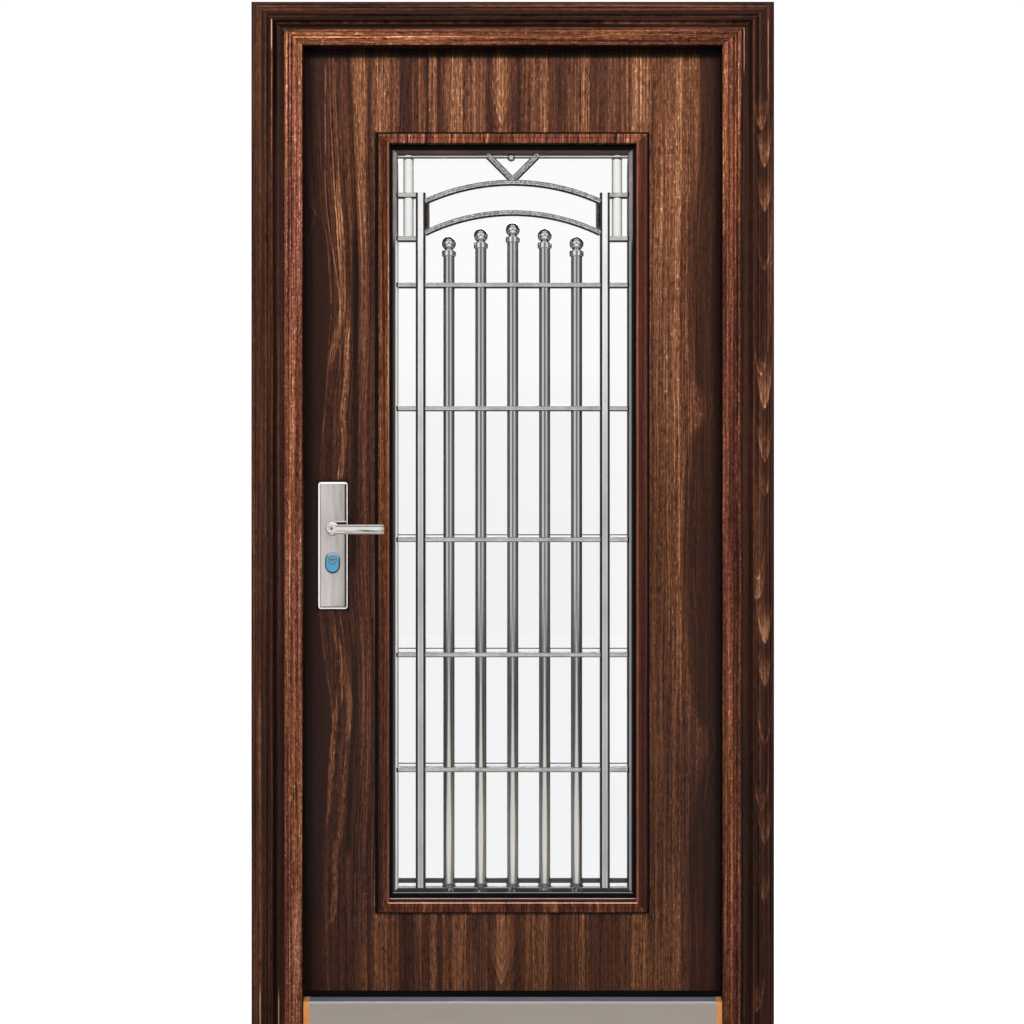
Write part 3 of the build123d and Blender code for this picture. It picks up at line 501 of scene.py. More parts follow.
        # dark heartwood along the lock stile, with a light line at its edge
        edge = g.curve(
            v,
            0.03,
            1.98,
            [
                (0.03, -0.388),
                (0.20, -0.388),
                (0.36, -0.382),
                (0.45, -0.372),
                (0.53, -0.368),
                (0.61, -0.364),
                (0.71, -0.374),
                (0.77, -0.382),
                (0.85, -0.390),
                (0.95, -0.392),
                (1.08, -0.392),
                (1.17, -0.388),
                (1.25, -0.381),
                (1.31, -0.376),
                (1.37, -0.372),
                (1.45, -0.368),
                (1.53, -0.370),
                (1.59, -0.376),
                (1.62, -0.388),
                (1.635, -0.400),
                (1.66, -0.412),
                (1.80, -0.420),
                (1.98, -0.422),
            ],
            -0.45,
            -0.30,
        )
        off = x + w - edge
        heart = g.step(off, 0.003, -0.003) * front
        body = body * (1.0 - heart * 0.72) + heart * 0.105
        hue = hue * (1.0 - heart * 0.8)
        rim = g.step(g.abs(off), 0.0026, 0.0005)
        rim = rim * g.step(v, 0.42, 0.5) * g.step(v, 1.665, 1.640)
        rim = rim * g.step(g.noise(u0, v, 20.0, 30.0, seed + 71.0, 2.0), 0.36, 0.58)
        # the heartwood's point: its other flank comes down again near the edge
        flank = x + w * 0.5 + g.step(v, 1.640, 1.560) * 0.014 + 0.400
        rim2 = g.step(g.abs(flank), 0.0024, 0.0004) * g.step(v, 1.50, 1.56)
        rim2 = rim2 * g.step(v, 1.645, 1.630)
        body = body + (rim * 0.24 + rim2 * 0.18) * front
        # the lock side's outer strip is darker
        outer = g.step(x, -0.362, -0.412)
        body = body * (1.0 - outer * 0.40)
        hue = hue * (1.0 - outer * 0.6)
        # a broken light line near the top of the lock stile
        run = x + w * 0.6 + 0.379 - g.step(v, 1.70, 1.42) * 0.030
        thread = g.step(g.abs(run), 0.0022, 0.0004) * g.step(v, 1.20, 1.45)
        thread = thread * g.step(g.noise(u0, v, 30.0, 26.0, seed + 75.0, 1.0), 0.34, 0.50)
        body = body + thread * 0.34
        # the hinge side darkens outwards, with curved lines in it
        edge2 = g.curve(
            v,
            0.03,
            1.98,
            [
                (0.03, 0.376),
                (0.30, 0.372),
                (0.42, 0.384),
                (0.52, 0.400),
                (0.56, 0.410),
                (0.62, 0.388),
                (0.80, 0.372),
                (1.00, 0.368),
                (1.18, 0.380),
                (1.24, 0.404),
                (1.30, 0.386),
                (1.42, 0.378),
                (1.60, 0.376),
                (1.98, 0.382),
            ],
            0.34,
            0.44,
        )
        off2 = x + w - edge2 + g.step(v, 1.80, 1.60) * 0.014
        dark2 = g.step(off2, -0.014, 0.006)
        body = body - dark2 * (body - 0.16) * 0.40
        body = body * (1.0 - dark2 * 0.36)
        band2 = g.bump_at(x, 0.300, 0.050) * g.step(v, 1.30, 1.10) * g.step(v, 0.20, 0.40)
        body = body * (1.0 - band2 * 0.16)
        rail = g.step(z, 0.225, 0.180)
        body = body - rail * (body - 0.30) * 0.25
        hue = hue * (1.0 - dark2 * 0.4)
        ring = off2 / 0.0125
        wave = g.abs(g.math("FRACT", ring + 20.0) - 0.5)
        thin = g.step(wave, 0.34, 0.47) * g.step(off2, -0.034, -0.02) * g.step(off2, 0.034, 0.01)
        thin = thin * g.step(g.noise(u0, v, 18.0, 5.0, seed + 73.0, 1.0), 0.46, 0.62)
        body = body + thin * 0.14
        # nested points in the rails, apex down
        for uc, vc, k, tall in (
            (-0.022, 1.806, 3.4, 0.13),
            (-0.024, 0.070, 3.2, 0.12),
        ):
            du = x + n2 * 0.012 - uc
            arm = g.math("SQRT", du * du + 0.0000025)
            level = (v - vc) - arm * k
            zone = g.bump_at(du, 0.0, 0.040) * g.step(v, vc - 0.02, vc + 0.01)
            zone = zone * g.step(v, vc + tall + 0.05, vc + tall - 0.02)
            inside = g.step(level, 0.0, 0.004)
            l1 = g.bump_at(level, 0.002, 0.0055)
            l2 = g.bump_at(level, 0.030, 0.0055)
            grain = g.noise(level, du, 60.0, 10.0, seed + 77.0, 2.0) - 0.5
            body = body * (1.0 - zone * 0.45) + zone * (
                inside * 0.14 + grain * 0.30 + fc * 0.3 + l1 * 0.16 + l2 * 0.14 + 0.12
            )
        # painted shade: the margin under the frame's lips, where the leaf shuts against the seal, is darkened as the
        # frame's shadow
        painted_margin_shade = g.math("MAXIMUM", g.step(x, -0.398, -0.412), g.step(x, 0.402, 0.414)) * 0.6
        painted_margin_shade = g.math("MAXIMUM", painted_margin_shade, g.step(z, 1.9440, 1.9500) * 0.78)
        # and painted shade darkens the wood close round the handle's plate, as its contact shadow
        near_plate = g.math("MAXIMUM", g.abs(x + 0.3633) - 0.0296, g.abs(z - 0.96125) - 0.12825)
        painted_margin_shade = g.math("MAXIMUM", painted_margin_shade, g.step(near_plate, 0.0080, 0.0005) * 0.80)
        shade = 1.0 - painted_margin_shade * front
    if kind == "casing":
        # the frame's colours are quieter than the leaf's
        hue = hue * 0.55
        flat = g.step(x, 0.4560, 0.4620)
        body = body * (1.0 - flat * 0.16)
        if axis == "Z":
            sway = x + n2 * 0.006
            arms = []
            for uc in (0.4884, 0.4964, 0.5030):
                du = sway - uc
                a = g.math("SQRT", du * du + 0.000003)
                rise = (a - 0.0017) * 1.7 + a * a * a * 15000.0
                arms.append((v + n3 * 0.004 - rise, a * a * 45000.0 + 1.7))
            right = g.step(x, 0.4800, 0.4860)
            for at, which, tall, fill, outline in POINTS:
                level, steep = arms[which]
                b = g.step(level, at, at + 0.0030) * g.step(v, at + tall * 1.5, at + tall * 0.4)
                b = b * right
                body = body + b * (fb * 0.6 + fc * 0.5 + fill * 1.25)
                hue = hue + b * (fill * 3.0)
                if outline:
                    off = g.math("DIVIDE", g.abs(level - (at + 0.0018)), steep)
                    thin = g.step(off, 0.0021, 0.0009) * right
                    thin = thin * (g.step(v, at + 0.090, at + 0.040) * 0.85 + 0.15)
                    body = body + thin * (dash * 0.5 + 0.5) * (outline * 1.25)
            # painted highlights: bright glints on the arrises high up and near the foot, and a thin pale one down the
            # hinge side
            glint = g.bump_at(x, -0.4824, 0.0017) * (
                g.step(z, 1.955, 1.968) * 1.1 + g.step(z, 1.700, 1.760) * 0.32
            )
            glint = glint + g.bump_at(x, 0.4635, 0.0016) * (g.step(z, 1.895, 1.925) * 0.75 + 0.13)
            glint = glint + g.bump_at(x, 0.5104, 0.0016) * g.step(z, 1.860, 1.890) * 0.40
            glint = glint + g.bump_at(x, -0.5048, 0.0019) * (g.step(z, 0.100, 0.050) * 0.85 + 0.10)
            glint = glint + g.bump_at(x, -0.4690, 0.0019) * (g.step(z, 0.090, 0.045) * 0.95 + 0.07)
            glint = glint * g.step(z, 2.017, 2.011) * g.step(y, -0.001, -0.004)
            body = body + glint * (slow * 0.8 + 0.6)
            hue = hue * (1.0 - g.clamp(glint * 1.5))
            lock = g.step(x, 0.0, -0.1)
            body = body + g.bump_at(across, 0.0120, 0.014) * lock * 0.075
            hue = hue + g.bump_at(across, 0.0120, 0.014) * lock * 0.35
            body = body * (1.0 - g.bump_at(across, 0.0520, 0.016) * lock * 0.30)
            # painted highlights: lighter lines along the mouldings, stronger high up
            high = g.step(z, 1.35, 1.60)
            body = body + g.bump_at(x, -0.5055, 0.0028) * (high * 0.10 + 0.05)
            body = body * (1.0 - g.bump_at(x, -0.4975, 0.0060) * 0.28)
            body = body + g.bump_at(x, 0.4767, 0.0045) * 0.14
            body = body * (right * 0.14 + 1.0)
            body = body + g.bump_at(x, 0.5104, 0.0040) * (high * 0.12 + 0.06)
            # soft broad patches on the lock side's casing, and a curl or two
            arm = g.math("SQRT", (sway + 0.496) * (sway + 0.496) + 0.000005) * 4.6
            for at in (1.205, 0.335):
                level = v + arm
                thin = g.step(g.abs(level - at - 0.01), 0.0034, 0.0012) * g.step(x, -0.480, -0.486)
                body = body + thin * (dash * 0.5 + 0.5) * 0.12
    if kind == "jamb":
        # painted shade: the lips' inner returns, where the leaf shuts, are darkened as the shadow there
        if axis == "Z":
            left = g.step(x, 0.1, -0.1)
            inner = g.step(g.abs(x) - left * 0.0016, 0.4212, 0.4200)
        else:
            inner = g.step(z, 1.9653, 1.9641)
        near = y + left * 0.0025 if axis == "Z" else y
        shade = 1.0 - inner * g.step(near, -0.018, -0.0145) * 0.88
    if kind in ("jamb", "casing"):
        # the leaf side is a little lighter on the lock side
        body = body * (1.0 - g.step(x, 0.0, 0.4) * g.step(z, 1.96, 1.80) * (0.20 if kind == "jamb" else 0.0))
    if kind == "jamb" and axis == "Z":
        # painted shade along the jambs' outer edges beside the casing
        body = body - g.step(x, 0.4440, 0.4500) * 0.13
        body = body * (1.0 - g.step(x, -0.4535, -0.4560) * 0.35)
    if kind == "bead" and seed > 110.0:
        # painted highlight along the foot's inner arris
        arris = g.bump_at(z, 0.2403, 0.0017) * g.step(y, 0.026, 0.022)
        body = body * (1.0 - g.step(z, 0.40, 0.30) * 0.22)
        body = body + arris * (slow * 0.7 + 0.55)
        hue = hue * (1.0 - arris)
    if kind == "bead" and seed < 110.0:
        # the hinge side's bead is darker and quieter; a painted highlight runs along the lock side's inner edge, and a
        # fainter one along the hinge side's
        dark = g.step(x, 0.0, 0.2)
        body = body - dark * (body - 0.165) * 0.62
        hue = hue * (1.0 - dark * 0.75)
        inner = g.step(g.abs(x), 0.2535, 0.2515) * (1.0 - dark)
        body = body * (1.0 - (1.0 - dark) * 0.13)
        body = body + inner * (slow * 0.50)
        body = body + g.step(g.abs(x), 0.2546, 0.2530) * dark * 0.27

    body = g.clamp(body)
    colour = g.mix_col(g.clamp(hue), g.ramp(body, cool), g.ramp(body, warm))
    if isinstance(shade, Sock):
        dim = g.new("ShaderNodeMix")
        dim.data_type = "RGBA"
        dim.blend_type = "MULTIPLY"
        dim.inputs[0].default_value = 1.0
        g.put(colour, dim.inputs[6])
        three = g.vec(shade, shade, shade)
        g.put(three, dim.inputs[7])
        colour = Sock(g, dim.outputs[2])
    g.set(
        Base_Color=colour,
        Roughness=g.noise(u0, v, 60.0, 8.0, seed + 91.0, 2.0) * 0.16 + 0.28,
        Specular_IOR_Level=0.15,
        Coat_Weight=0.02,
        Coat_Roughness=0.16,
    )
    g.bump(fb * 0.7 + pore * -0.5 + fc * 0.5, 0.00030, 0.45)
    return g.mat


# ------------------------------------------------------------------------- metal
def metal(
    name, colour, rough, along="Z", brush=0.0, spread=0.05, metallic=1.0, mottle=0.0
):
    """Metal with fine brush lines along one axis, faint handling marks and smudges."""
    g = Graph(name)
    s = {"Z": (1, 1, 0.02), "X": (0.02, 1, 1), "Y": (1, 0.02, 1)}[along]
    lines = g.noise3(1600.0, 2.0, 0.6, s) - 0.5
    soft = g.noise3(9.0, 3.0, 0.55) - 0.5
    smudge = g.noise3(34.0, 3.0, 0.6) - 0.5
    tone = soft * 0.5 + lines * brush + 0.5
    if mottle:
        tone = tone + (g.noise3(240.0, 2.0, 0.6) - 0.5) * mottle
    tone = g.clamp(tone)
    dark = tuple(c * 0.74 for c in colour)
    light = tuple(min(1.0, c * 1.20) for c in colour)
    g.set(
        Base_Color=g.mix_col(tone, dark, light),
        Metallic=metallic,
        Roughness=smudge * spread + lines * (brush * 0.12) + rough,
    )
    if brush:
        g.bump(lines, 0.00008 * brush, 0.6)
    return g.mat


def tube_steel(name):
    """Polished tubes, painted lighter and warmer low down as the floor's reflection. The two short corner tubes are
    brushed and pale, with painted shade down their sides.
    """
    g = Graph(name)
    x, y, z = g.xyz()
    pale = g.step(g.abs(x), 0.180, 0.195)
    lines = g.noise3(1500.0, 2.0, 0.6, (1, 1, 0.015)) - 0.5
    soft = g.noise3(11.0, 3.0, 0.55) - 0.5
    smudge = g.noise3(40.0, 3.0, 0.6) - 0.5
    tone = g.clamp(soft * 0.5 + lines * 0.6 + 0.5)
    bright = g.mix_col(tone, (0.44, 0.43, 0.42), (0.70, 0.69, 0.68))
    warm = g.mix_col(tone, (0.58, 0.56, 0.52), (0.80, 0.78, 0.73))
    # painted reflection: lighter and warmer low down
    bright = g.mix_col(g.step(z, 1.10, 0.55), bright, warm)
    # painted shade down the sides of the corner tubes
    rim = g.step(g.abs(g.abs(x) - 0.212), 0.0078, 0.0092)
    white = g.mix_col(tone, (0.58, 0.58, 0.575), (0.72, 0.72, 0.71))
    white = g.mix_col(rim, white, (0.34, 0.34, 0.34))
    g.set(
        Base_Color=g.mix_col(pale, bright, white),
        Metallic=1.0 - pale * 0.85,
        Roughness=smudge * 0.05 + pale * 0.24 + 0.12,
    )
    g.bump(lines, 0.00003, 0.5)
    return g.mat


def rod_steel(name, light, speckle, rough=0.22, kind=""):
    """The grille's bars: satin steel with fine dark speckle, and painted shade along their edges, darkest on their
    undersides.
    """
    g = Graph(name)
    x, y, z = g.xyz()
    lines = g.noise3(1100.0, 2.0, 0.6, (0.05, 1, 1)) - 0.5
    soft = g.noise3(16.0, 3.0, 0.55) - 0.5
    dots = g.step(g.noise3(380.0, 2.0, 0.6), 0.47, 0.56)
    smudge = g.noise3(60.0, 3.0, 0.6) - 0.5
    tone = g.clamp(soft * 0.8 + lines * 0.5 + smudge * 0.9 + 0.72 - dots * speckle)
    dark = tuple(c * 0.36 for c in light)
    colour = g.mix_col(tone, dark, light)
    deep = (0.022, 0.020, 0.020)
    # painted shade along the bars' edges, darkest underneath
    if kind == "arch":
        for crown, radius in ((1.7033, 0.4365), (1.6419, 0.4116)):
            dz = z - (crown - radius)
            r = g.math("SQRT", x * x + dz * dz)
            low = g.step(g.abs(r - (radius - 0.0110)), 0.0026, 0.0014) * g.step(g.abs(x), 0.1765, 0.1745)
            top = g.step(g.abs(r - radius), 0.0016, 0.0006) * g.step(g.abs(x), 0.1765, 0.1745)
            colour = g.mix_col(g.math("MAXIMUM", low, top * 0.45), colour, deep)
        # the end uprights are browner, with a light inner edge
        end = g.step(g.abs(x), 0.1682, 0.1692) * g.step(g.abs(g.abs(z - 1.630)), 0.0260, 0.0240)
        brown = g.mix_col(tone, (0.040, 0.030, 0.030), (0.13, 0.10, 0.10))
        inner = g.step(g.abs(x), 0.1712, 0.1702)
        colour = g.mix_col(end, colour, g.mix_col(inner, brown, (0.55, 0.53, 0.53)))
    elif kind == "vee":
        # distance across each arm from its middle line
        t = (z - 1.7545 - g.abs(x) + 0.05195) * 0.7071
        low = g.step(t, -0.0040, -0.0052)
        top = g.step(t, 0.0050, 0.0060)
        colour = g.mix_col(g.math("MAXIMUM", low, top * 0.6), colour, deep)
    elif kind == "bar":
        for level in (1.2391, 1.4896, 1.5838, 1.6722):
            under = g.step(g.abs(z - (level - 0.0052)), 0.0020, 0.0010)
            colour = g.mix_col(under * 0.9, colour, deep)
        for level in (0.506, 0.7392, 0.973):
            rim = g.step(g.abs(g.abs(z - level) - 0.0050), 0.0012, 0.0006)
            colour = g.mix_col(rim * 0.7, colour, (0.12, 0.115, 0.11))
    g.set(
        Base_Color=colour,
        Metallic=0.88,
        Roughness=smudge * 0.08 + rough,
    )
    g.bump(lines + dots * -0.5, 0.00005, 0.5)
    return g.mat


def head_strip_steel(name):
    """The lip under the grille's head: light above, with painted shade along its lower edge."""
    g = Graph(name)
    x, y, z = g.xyz()
    soft = g.noise3(30.0, 3.0, 0.55, (0.3, 1, 1))
    light = g.mix_col(soft, (0.30, 0.28, 0.275), (0.62, 0.60, 0.595))
    # painted shade along the lower edge
    low = g.step(z, 1.7490, 1.7484)
    g.set(
        Base_Color=g.mix_col(low, light, (0.030, 0.027, 0.026)),
        Metallic=0.4,
        Roughness=soft * 0.1 + 0.28,
    )
    return g.mat


def foot_strip_paint(name):
    """The narrow strip inside the bead's foot: dark red-brown with a painted highlight along its top arris."""
    g = Graph(name)
    x, y, z = g.xyz()
    cloud = g.noise3(60.0, 3.0, 0.6, (0.4, 1, 1))
    body = g.mix_col(cloud, srgb(40, 18, 14), srgb(92, 46, 34))
    # painted highlight along the top arris
    top = g.step(z, 0.2462, 0.2468)
    g.set(
        Base_Color=g.mix_col(g.clamp(top * cloud * 1.9), body, srgb(226, 204, 204)),
        Roughness=cloud * 0.2 + 0.25,
        Specular_IOR_Level=0.3,
    )
    return g.mat


def lever_steel(name):
    """The lever: satin, with painted shade in the groove under its top edge, a soft dark line low on its face, a
    painted warm reflection on its underside, and painted shade in the hub's dimple and round its edge.
    """
    g = Graph(name)
    x, y, z = g.xyz()
    lines = g.noise3(1300.0, 2.0, 0.6, (0.02, 1, 1)) - 0.5
    soft = g.noise3(40.0, 3.0, 0.55, (0.5, 1, 1)) - 0.5
    smudge = g.noise3(60.0, 3.0, 0.6) - 0.5
    h = z - 0.9957
    tone = g.clamp(soft * 0.7 + lines * 0.4 + 0.62)
    face = g.mix_col(tone, (0.60, 0.565, 0.545), (0.98, 0.955, 0.93))
    # painted reflection: warm on the underside
    low = g.step(h, -0.0058, -0.0070)
    face = g.mix_col(low * 0.8, face, (0.96, 0.88, 0.80))
    bar = g.step(x, -0.3560, -0.3520)
    # painted shade in the groove under the top edge
    groove = g.bump_at(h, 0.0046, 0.0017) * bar
    wave = g.bump_at(h + smudge * 0.006, -0.0050, 0.0030) * bar
    deep = g.bump_at(x, -0.2860, 0.030) * 0.65 + 0.45
    # painted shade in the hub's dimple and round its edge
    dx = x + 0.3620
    r = g.math("SQRT", dx * dx + h * h)
    dimple = g.step(r, 0.0034, 0.0022)
    rx = x + 0.3633
    rr = g.math("SQRT", rx * rx + h * h)
    ring = g.bump_at(rr, 0.0094, 0.0010) * g.step(x, -0.3600, -0.3650)
    dark = g.math("MAXIMUM", g.math("MAXIMUM", groove * 0.85, wave * deep), g.math("MAXIMUM", dimple * 0.9, ring * 0.8))
    g.set(
        Base_Color=g.mix_col(g.clamp(dark), face, (0.050, 0.046, 0.048)),
        Metallic=0.50,
        Roughness=smudge * 0.08 + lines * 0.06 + 0.24,
    )
    g.bump(lines, 0.00005, 0.5)
    return g.mat


def stop_steel(name):
    """The stop bar beside the hub: a painted highlight along its top edge, dark below."""
    g = Graph(name)
    x, y, z = g.xyz()
    soft = g.noise3(90.0, 3.0, 0.55)
    bright = g.mix_col(soft, (0.70, 0.67, 0.65), (0.98, 0.96, 0.94))
    g.set(
        Base_Color=g.mix_col(g.step(z, 1.0092, 1.0082), bright, (0.030, 0.028, 0.028)),
        Metallic=0.35,
        Roughness=soft * 0.1 + 0.24,
    )
    return g.mat


def plug_blue(name):
    """Key plug: blued face, with the keyway's walls painted black as its shade."""
    g = Graph(name)
    x, y, z = g.xyz()
    cloud = g.noise3(160.0, 3.0, 0.6)
    face = g.mix_col(cloud, srgb(88, 132, 168), srgb(132, 176, 208))
    # painted shade: the keyway's walls are black
    mid = g.abs(g.abs(y - 0.057) - 0.0435)
    inside = g.step(mid, 0.0002, 0.0005) * g.step(g.abs(y - 0.057), 0.0430, 0.0425)
    g.set(
        Base_Color=g.mix_col(inside, face, (0.003, 0.003, 0.003)),
        Metallic=inside * 0.5 + 0.5,
        Roughness=cloud * 0.1 + 0.22,
    )
    return g.mat


def post_steel_of(name):
    """Square uprights: pale satin faces, polished corners painted dark as their reflection, and painted shade darkening
    them towards the foot.
    """
    g = Graph(name)
    x, y, z = g.xyz()
    lines = g.noise3(1500.0, 2.0, 0.6, (1, 1, 0.015)) - 0.5
    soft = g.noise3(9.0, 3.0, 0.55) - 0.5
    smudge = g.noise3(40.0, 3.0, 0.6) - 0.5
    side = g.math("MINIMUM", g.abs(g.abs(x) - 0.187), g.abs(y - 0.053))
    # painted reflection: the polished corners are dark
    corner = g.step(side, 0.0048, 0.0060)
    # painted shade: darker towards the foot, and low down a darker line runs down the middle of each face
    low = g.step(z, 1.62, 0.90)
    tone = g.clamp(soft * 0.6 + lines * 0.5 + 0.62 - low * 0.30)
    face = g.mix_col(tone, (0.34, 0.335, 0.33), (0.95, 0.945, 0.935))
    centre = g.step(side, 0.0030, 0.0010) * low
    face = g.mix_col(centre * 0.35, face, (0.20, 0.20, 0.20))
    g.set(
        Base_Color=g.mix_col(corner, face, (0.050, 0.049, 0.048)),
        Metallic=corner * 0.45 + 0.25,
        Roughness=smudge * 0.08 + 0.30 - corner * 0.14,
    )
    g.bump(lines, 0.00004, 0.5)
    return g.mat


def ring_steel(name, head):
    """The grille's frame, painted with its light and shade: dark outside and bright inside, with the head bar painted
    brown as the wood reflected in it.
    """
    g = Graph(name)
    x, y, z = g.xyz()
    lines = g.noise3(900.0, 2.0, 0.6, (0.02, 1, 1) if head else (1, 1, 0.02)) - 0.5
    soft = g.noise3(9.0, 3.0, 0.55) - 0.5
    cloud = g.noise3(26.0, 3.0, 0.6, (0.4, 1, 1))
    tone = g.clamp(soft * 0.6 + lines * 0.8 + 0.5)
    bright = g.mix_col(tone, (0.74, 0.73, 0.72), (0.95, 0.94, 0.93))
    dark = g.mix_col(tone, (0.040, 0.040, 0.040), (0.095, 0.093, 0.090))
    front = g.step(y, 0.0446, 0.0438)
    if head:
        # painted reflection: the head bar is brown with the wood reflected in it
        brown = g.mix_col(cloud, (0.018, 0.012, 0.011), (0.085, 0.050, 0.040))
        top = g.step(z, 1.7000, 1.7100)
        foot = front * g.step(z, 0.2572, 0.2578)
        colour = g.mix_col(top, g.mix_col(foot, bright, g.mix_col(tone, (0.014, 0.014, 0.014), (0.050, 0.050, 0.050))), brown)
        # painted highlight along the foot's lower edge
        lip = front * g.step(z, 0.2576, 0.2570)
        colour = g.mix_col(lip, colour, (0.90, 0.84, 0.87))
        # smeared reflections round the tubes' feet
        dx = g.abs(x)
        near = None
        for at in (0.0, 0.0649, 0.1298):
            b = g.bump_at(dx, at, 0.016)
            near = b if near is None else g.math("MAXIMUM", near, b)
        spots = g.step(g.noise3(300.0, 2.0, 0.6, (1, 1, 0.6)), 0.52, 0.62)
        colour = g.mix_col(near * spots * g.step(z, 0.28, 0.27), colour, (0.60, 0.58, 0.58))
        metallic = 0.55 - top * 0.28 - lip * 0.45
    else:
        # brown-grey beside the corner tubes, with a dark inner line there
        # painted shade: the outer part is dark, the inner bright
        out = g.step(g.abs(x), 0.2372, 0.2384)
        low = g.mix_col(out, bright, dark)
        # painted shade: seen from the middle, the hinge side's is darker, with a grey line down it
        thin = g.math("MAXIMUM", g.step(x, 0.2362, 0.2354), g.step(x, 0.2400, 0.2410))
        other = g.mix_col(tone, (0.20, 0.20, 0.20), (0.44, 0.44, 0.44))
        other = g.mix_col(thin, other, (0.030, 0.030, 0.030))
        low = g.mix_col(g.step(x, -0.01, 0.01), low, other)
        grey = g.mix_col(cloud, (0.13, 0.10, 0.095), (0.42, 0.38, 0.37))
        inner = g.step(g.abs(x), 0.2356, 0.2346) * front
        inner = g.math("MAXIMUM", inner, g.step(g.abs(x), 0.2336, 0.2332))
        grey = g.mix_col(inner, grey, (0.030, 0.030, 0.028))
        colour = g.mix_col(g.step(z, 1.560, 1.600), low, grey)
        metallic = 0.55
    g.set(Base_Color=colour, Metallic=metallic, Roughness=cloud * 0.12 + 0.24)
    g.bump(lines, 0.00005, 0.5)
    return g.mat


def plate_steel(name):
    """Satin plate, brushed upright, with a painted highlight on its rim and painted shade in a dark line inside it on
    one side.
    """
    g = Graph(name)
    x, y, z = g.xyz()
    lines = g.noise3(1300.0, 2.0, 0.6, (1, 1, 0.012)) - 0.5
    bands = g.noise3(130.0, 2.0, 0.55, (1, 1, 0.10)) - 0.5
    soft = g.noise3(14.0, 3.0, 0.55, (1, 1, 0.5)) - 0.5
    smudge = g.noise3(34.0, 3.0, 0.6) - 0.5
    across = g.step(x, -0.378, -0.338)
    tone = g.clamp(soft * 0.9 + bands * 0.9 + lines * 0.5 + 0.74 - across * 0.50)
    face = g.mix_col(tone, (0.36, 0.325, 0.315), (0.80, 0.745, 0.72))
    dx = 0.0296 - g.abs(x + 0.3633)
    dz = 0.12825 - g.abs(z - 0.96125)
    # painted shade: a dark line inside the rim on the right side
    dark = g.step(g.abs(x + 0.3370), 0.0028, 0.0016) * g.step(dz, 0.0020, 0.0060)
    face = g.mix_col(dark * 0.92, face, (0.035, 0.033, 0.036))
    # painted highlight on the rim and its bevel
    edge = g.math("MINIMUM", dx + g.step(x, -0.345, -0.340) * 0.0016, dz)
    rim = g.step(edge, 0.0038, 0.0031)
    g.set(
        Base_Color=g.mix_col(rim, face, (0.98, 0.965, 0.95)),
        Metallic=0.55 - rim * 0.35,
        Roughness=smudge * 0.08 + lines * 0.08 + 0.30,
    )
    g.bump(lines, 0.00006, 0.5)
    return g.mat


def rubber(name):
    g = Graph(name)
    mottle = g.noise3(240.0, 3.0, 0.6)
    broad = g.noise3(12.0, 2.0)
    g.set(
        Base_Color=g.mix_col(broad, (0.002, 0.002, 0.002), (0.006, 0.006, 0.006)),
        Roughness=mottle * 0.2 + 0.5,
        Specular_IOR_Level=0.08,
    )
    g.bump(mottle, 0.0001, 0.5)
    return g.mat


def glass(name):
    g = Graph(name)
    haze = g.noise3(14.0, 3.0, 0.6)
    x, y, z = g.xyz()
    # painted shade: the glass is tinted darker low down, standing in for the shadowed floor seen through it, less in a
    # patch on the right
    low = g.step(z, 1.36, 1.20) * 0.75 + g.step(z, 1.20, 0.95) * 0.25
    right = g.step(x, 0.15, 0.24) * g.step(z, 0.44, 0.56) * 0.5
    clear = g.mix_col(haze, (0.980, 0.988, 0.990), (0.992, 0.996, 0.998))
    g.set(
        Base_Color=g.mix_col(low * (1.0 - right), clear, (0.912, 0.918, 0.920)),
        Roughness=haze * 0.010,
        Transmission_Weight=1.0,
        IOR=1.45,
    )
    return g.mat


def blue_anodised(name):
    """Blue cover: painted shade turns its edge navy at the left and bottom, and painted highlights make it paler over
    its upper shoulder and in a thin arc.
    """
    g = Graph(name)
    x, y, z = g.xyz()
    cloud = g.noise3(60.0, 3.0, 0.6)
    grit = g.noise3(1800.0, 2.0, 0.6)
    up = g.math("MAXIMUM", g.abs(z - 0.9269) - 0.00605, 0.0)
    dx = x + 0.3633
    inset = 0.01485 - g.math("SQRT", dx * dx + up * up)
    blue = g.mix_col(cloud, srgb(58, 142, 184), srgb(116, 190, 226))
    # painted highlight: paler over the upper shoulder
    shoulder = g.step(z, 0.9345, 0.9440)
    pale = g.mix_col(shoulder, blue, srgb(150, 176, 204))
    # painted shade: the edge turns navy at the left and bottom
    low = g.step(z, 0.9420, 0.9330)
    left = g.step(dx, -0.006, -0.012)
    edge = g.step(inset, 0.0030, 0.0016)
    navy = edge * g.math("MAXIMUM", low * 0.95, left * 0.95)
    # painted highlight in a thin arc high up
    arc = g.step(g.abs(inset - 0.0046), 0.0012, 0.0004) * g.step(z, 0.9380, 0.9420) * g.step(dx, 0.006, 0.0)
    pale = g.mix_col(arc * 0.8, pale, srgb(206, 226, 244))
    g.set(
        Base_Color=g.mix_col(navy, pale, srgb(22, 44, 56)),
        Metallic=0.45,
        Roughness=grit * 0.1 + 0.24,
    )
    g.bump(grit, 0.00003, 0.5)
    return g.mat


def copper(name):
    g = Graph(name)
    cloud = g.noise3(40.0, 3.0, 0.6)
    grain = g.noise3(500.0, 2.0, 0.6, (0.1, 1, 1))
    g.set(
        Base_Color=g.mix_col(cloud, srgb(222, 126, 58), srgb(255, 184, 112)),
        Metallic=0.20,
        Roughness=grain * 0.15 + 0.28,
    )
    g.bump(grain, 0.00006, 0.5)
    return g.mat


SILL_TOP = -0.0100  # where the sill's front turns into its slope


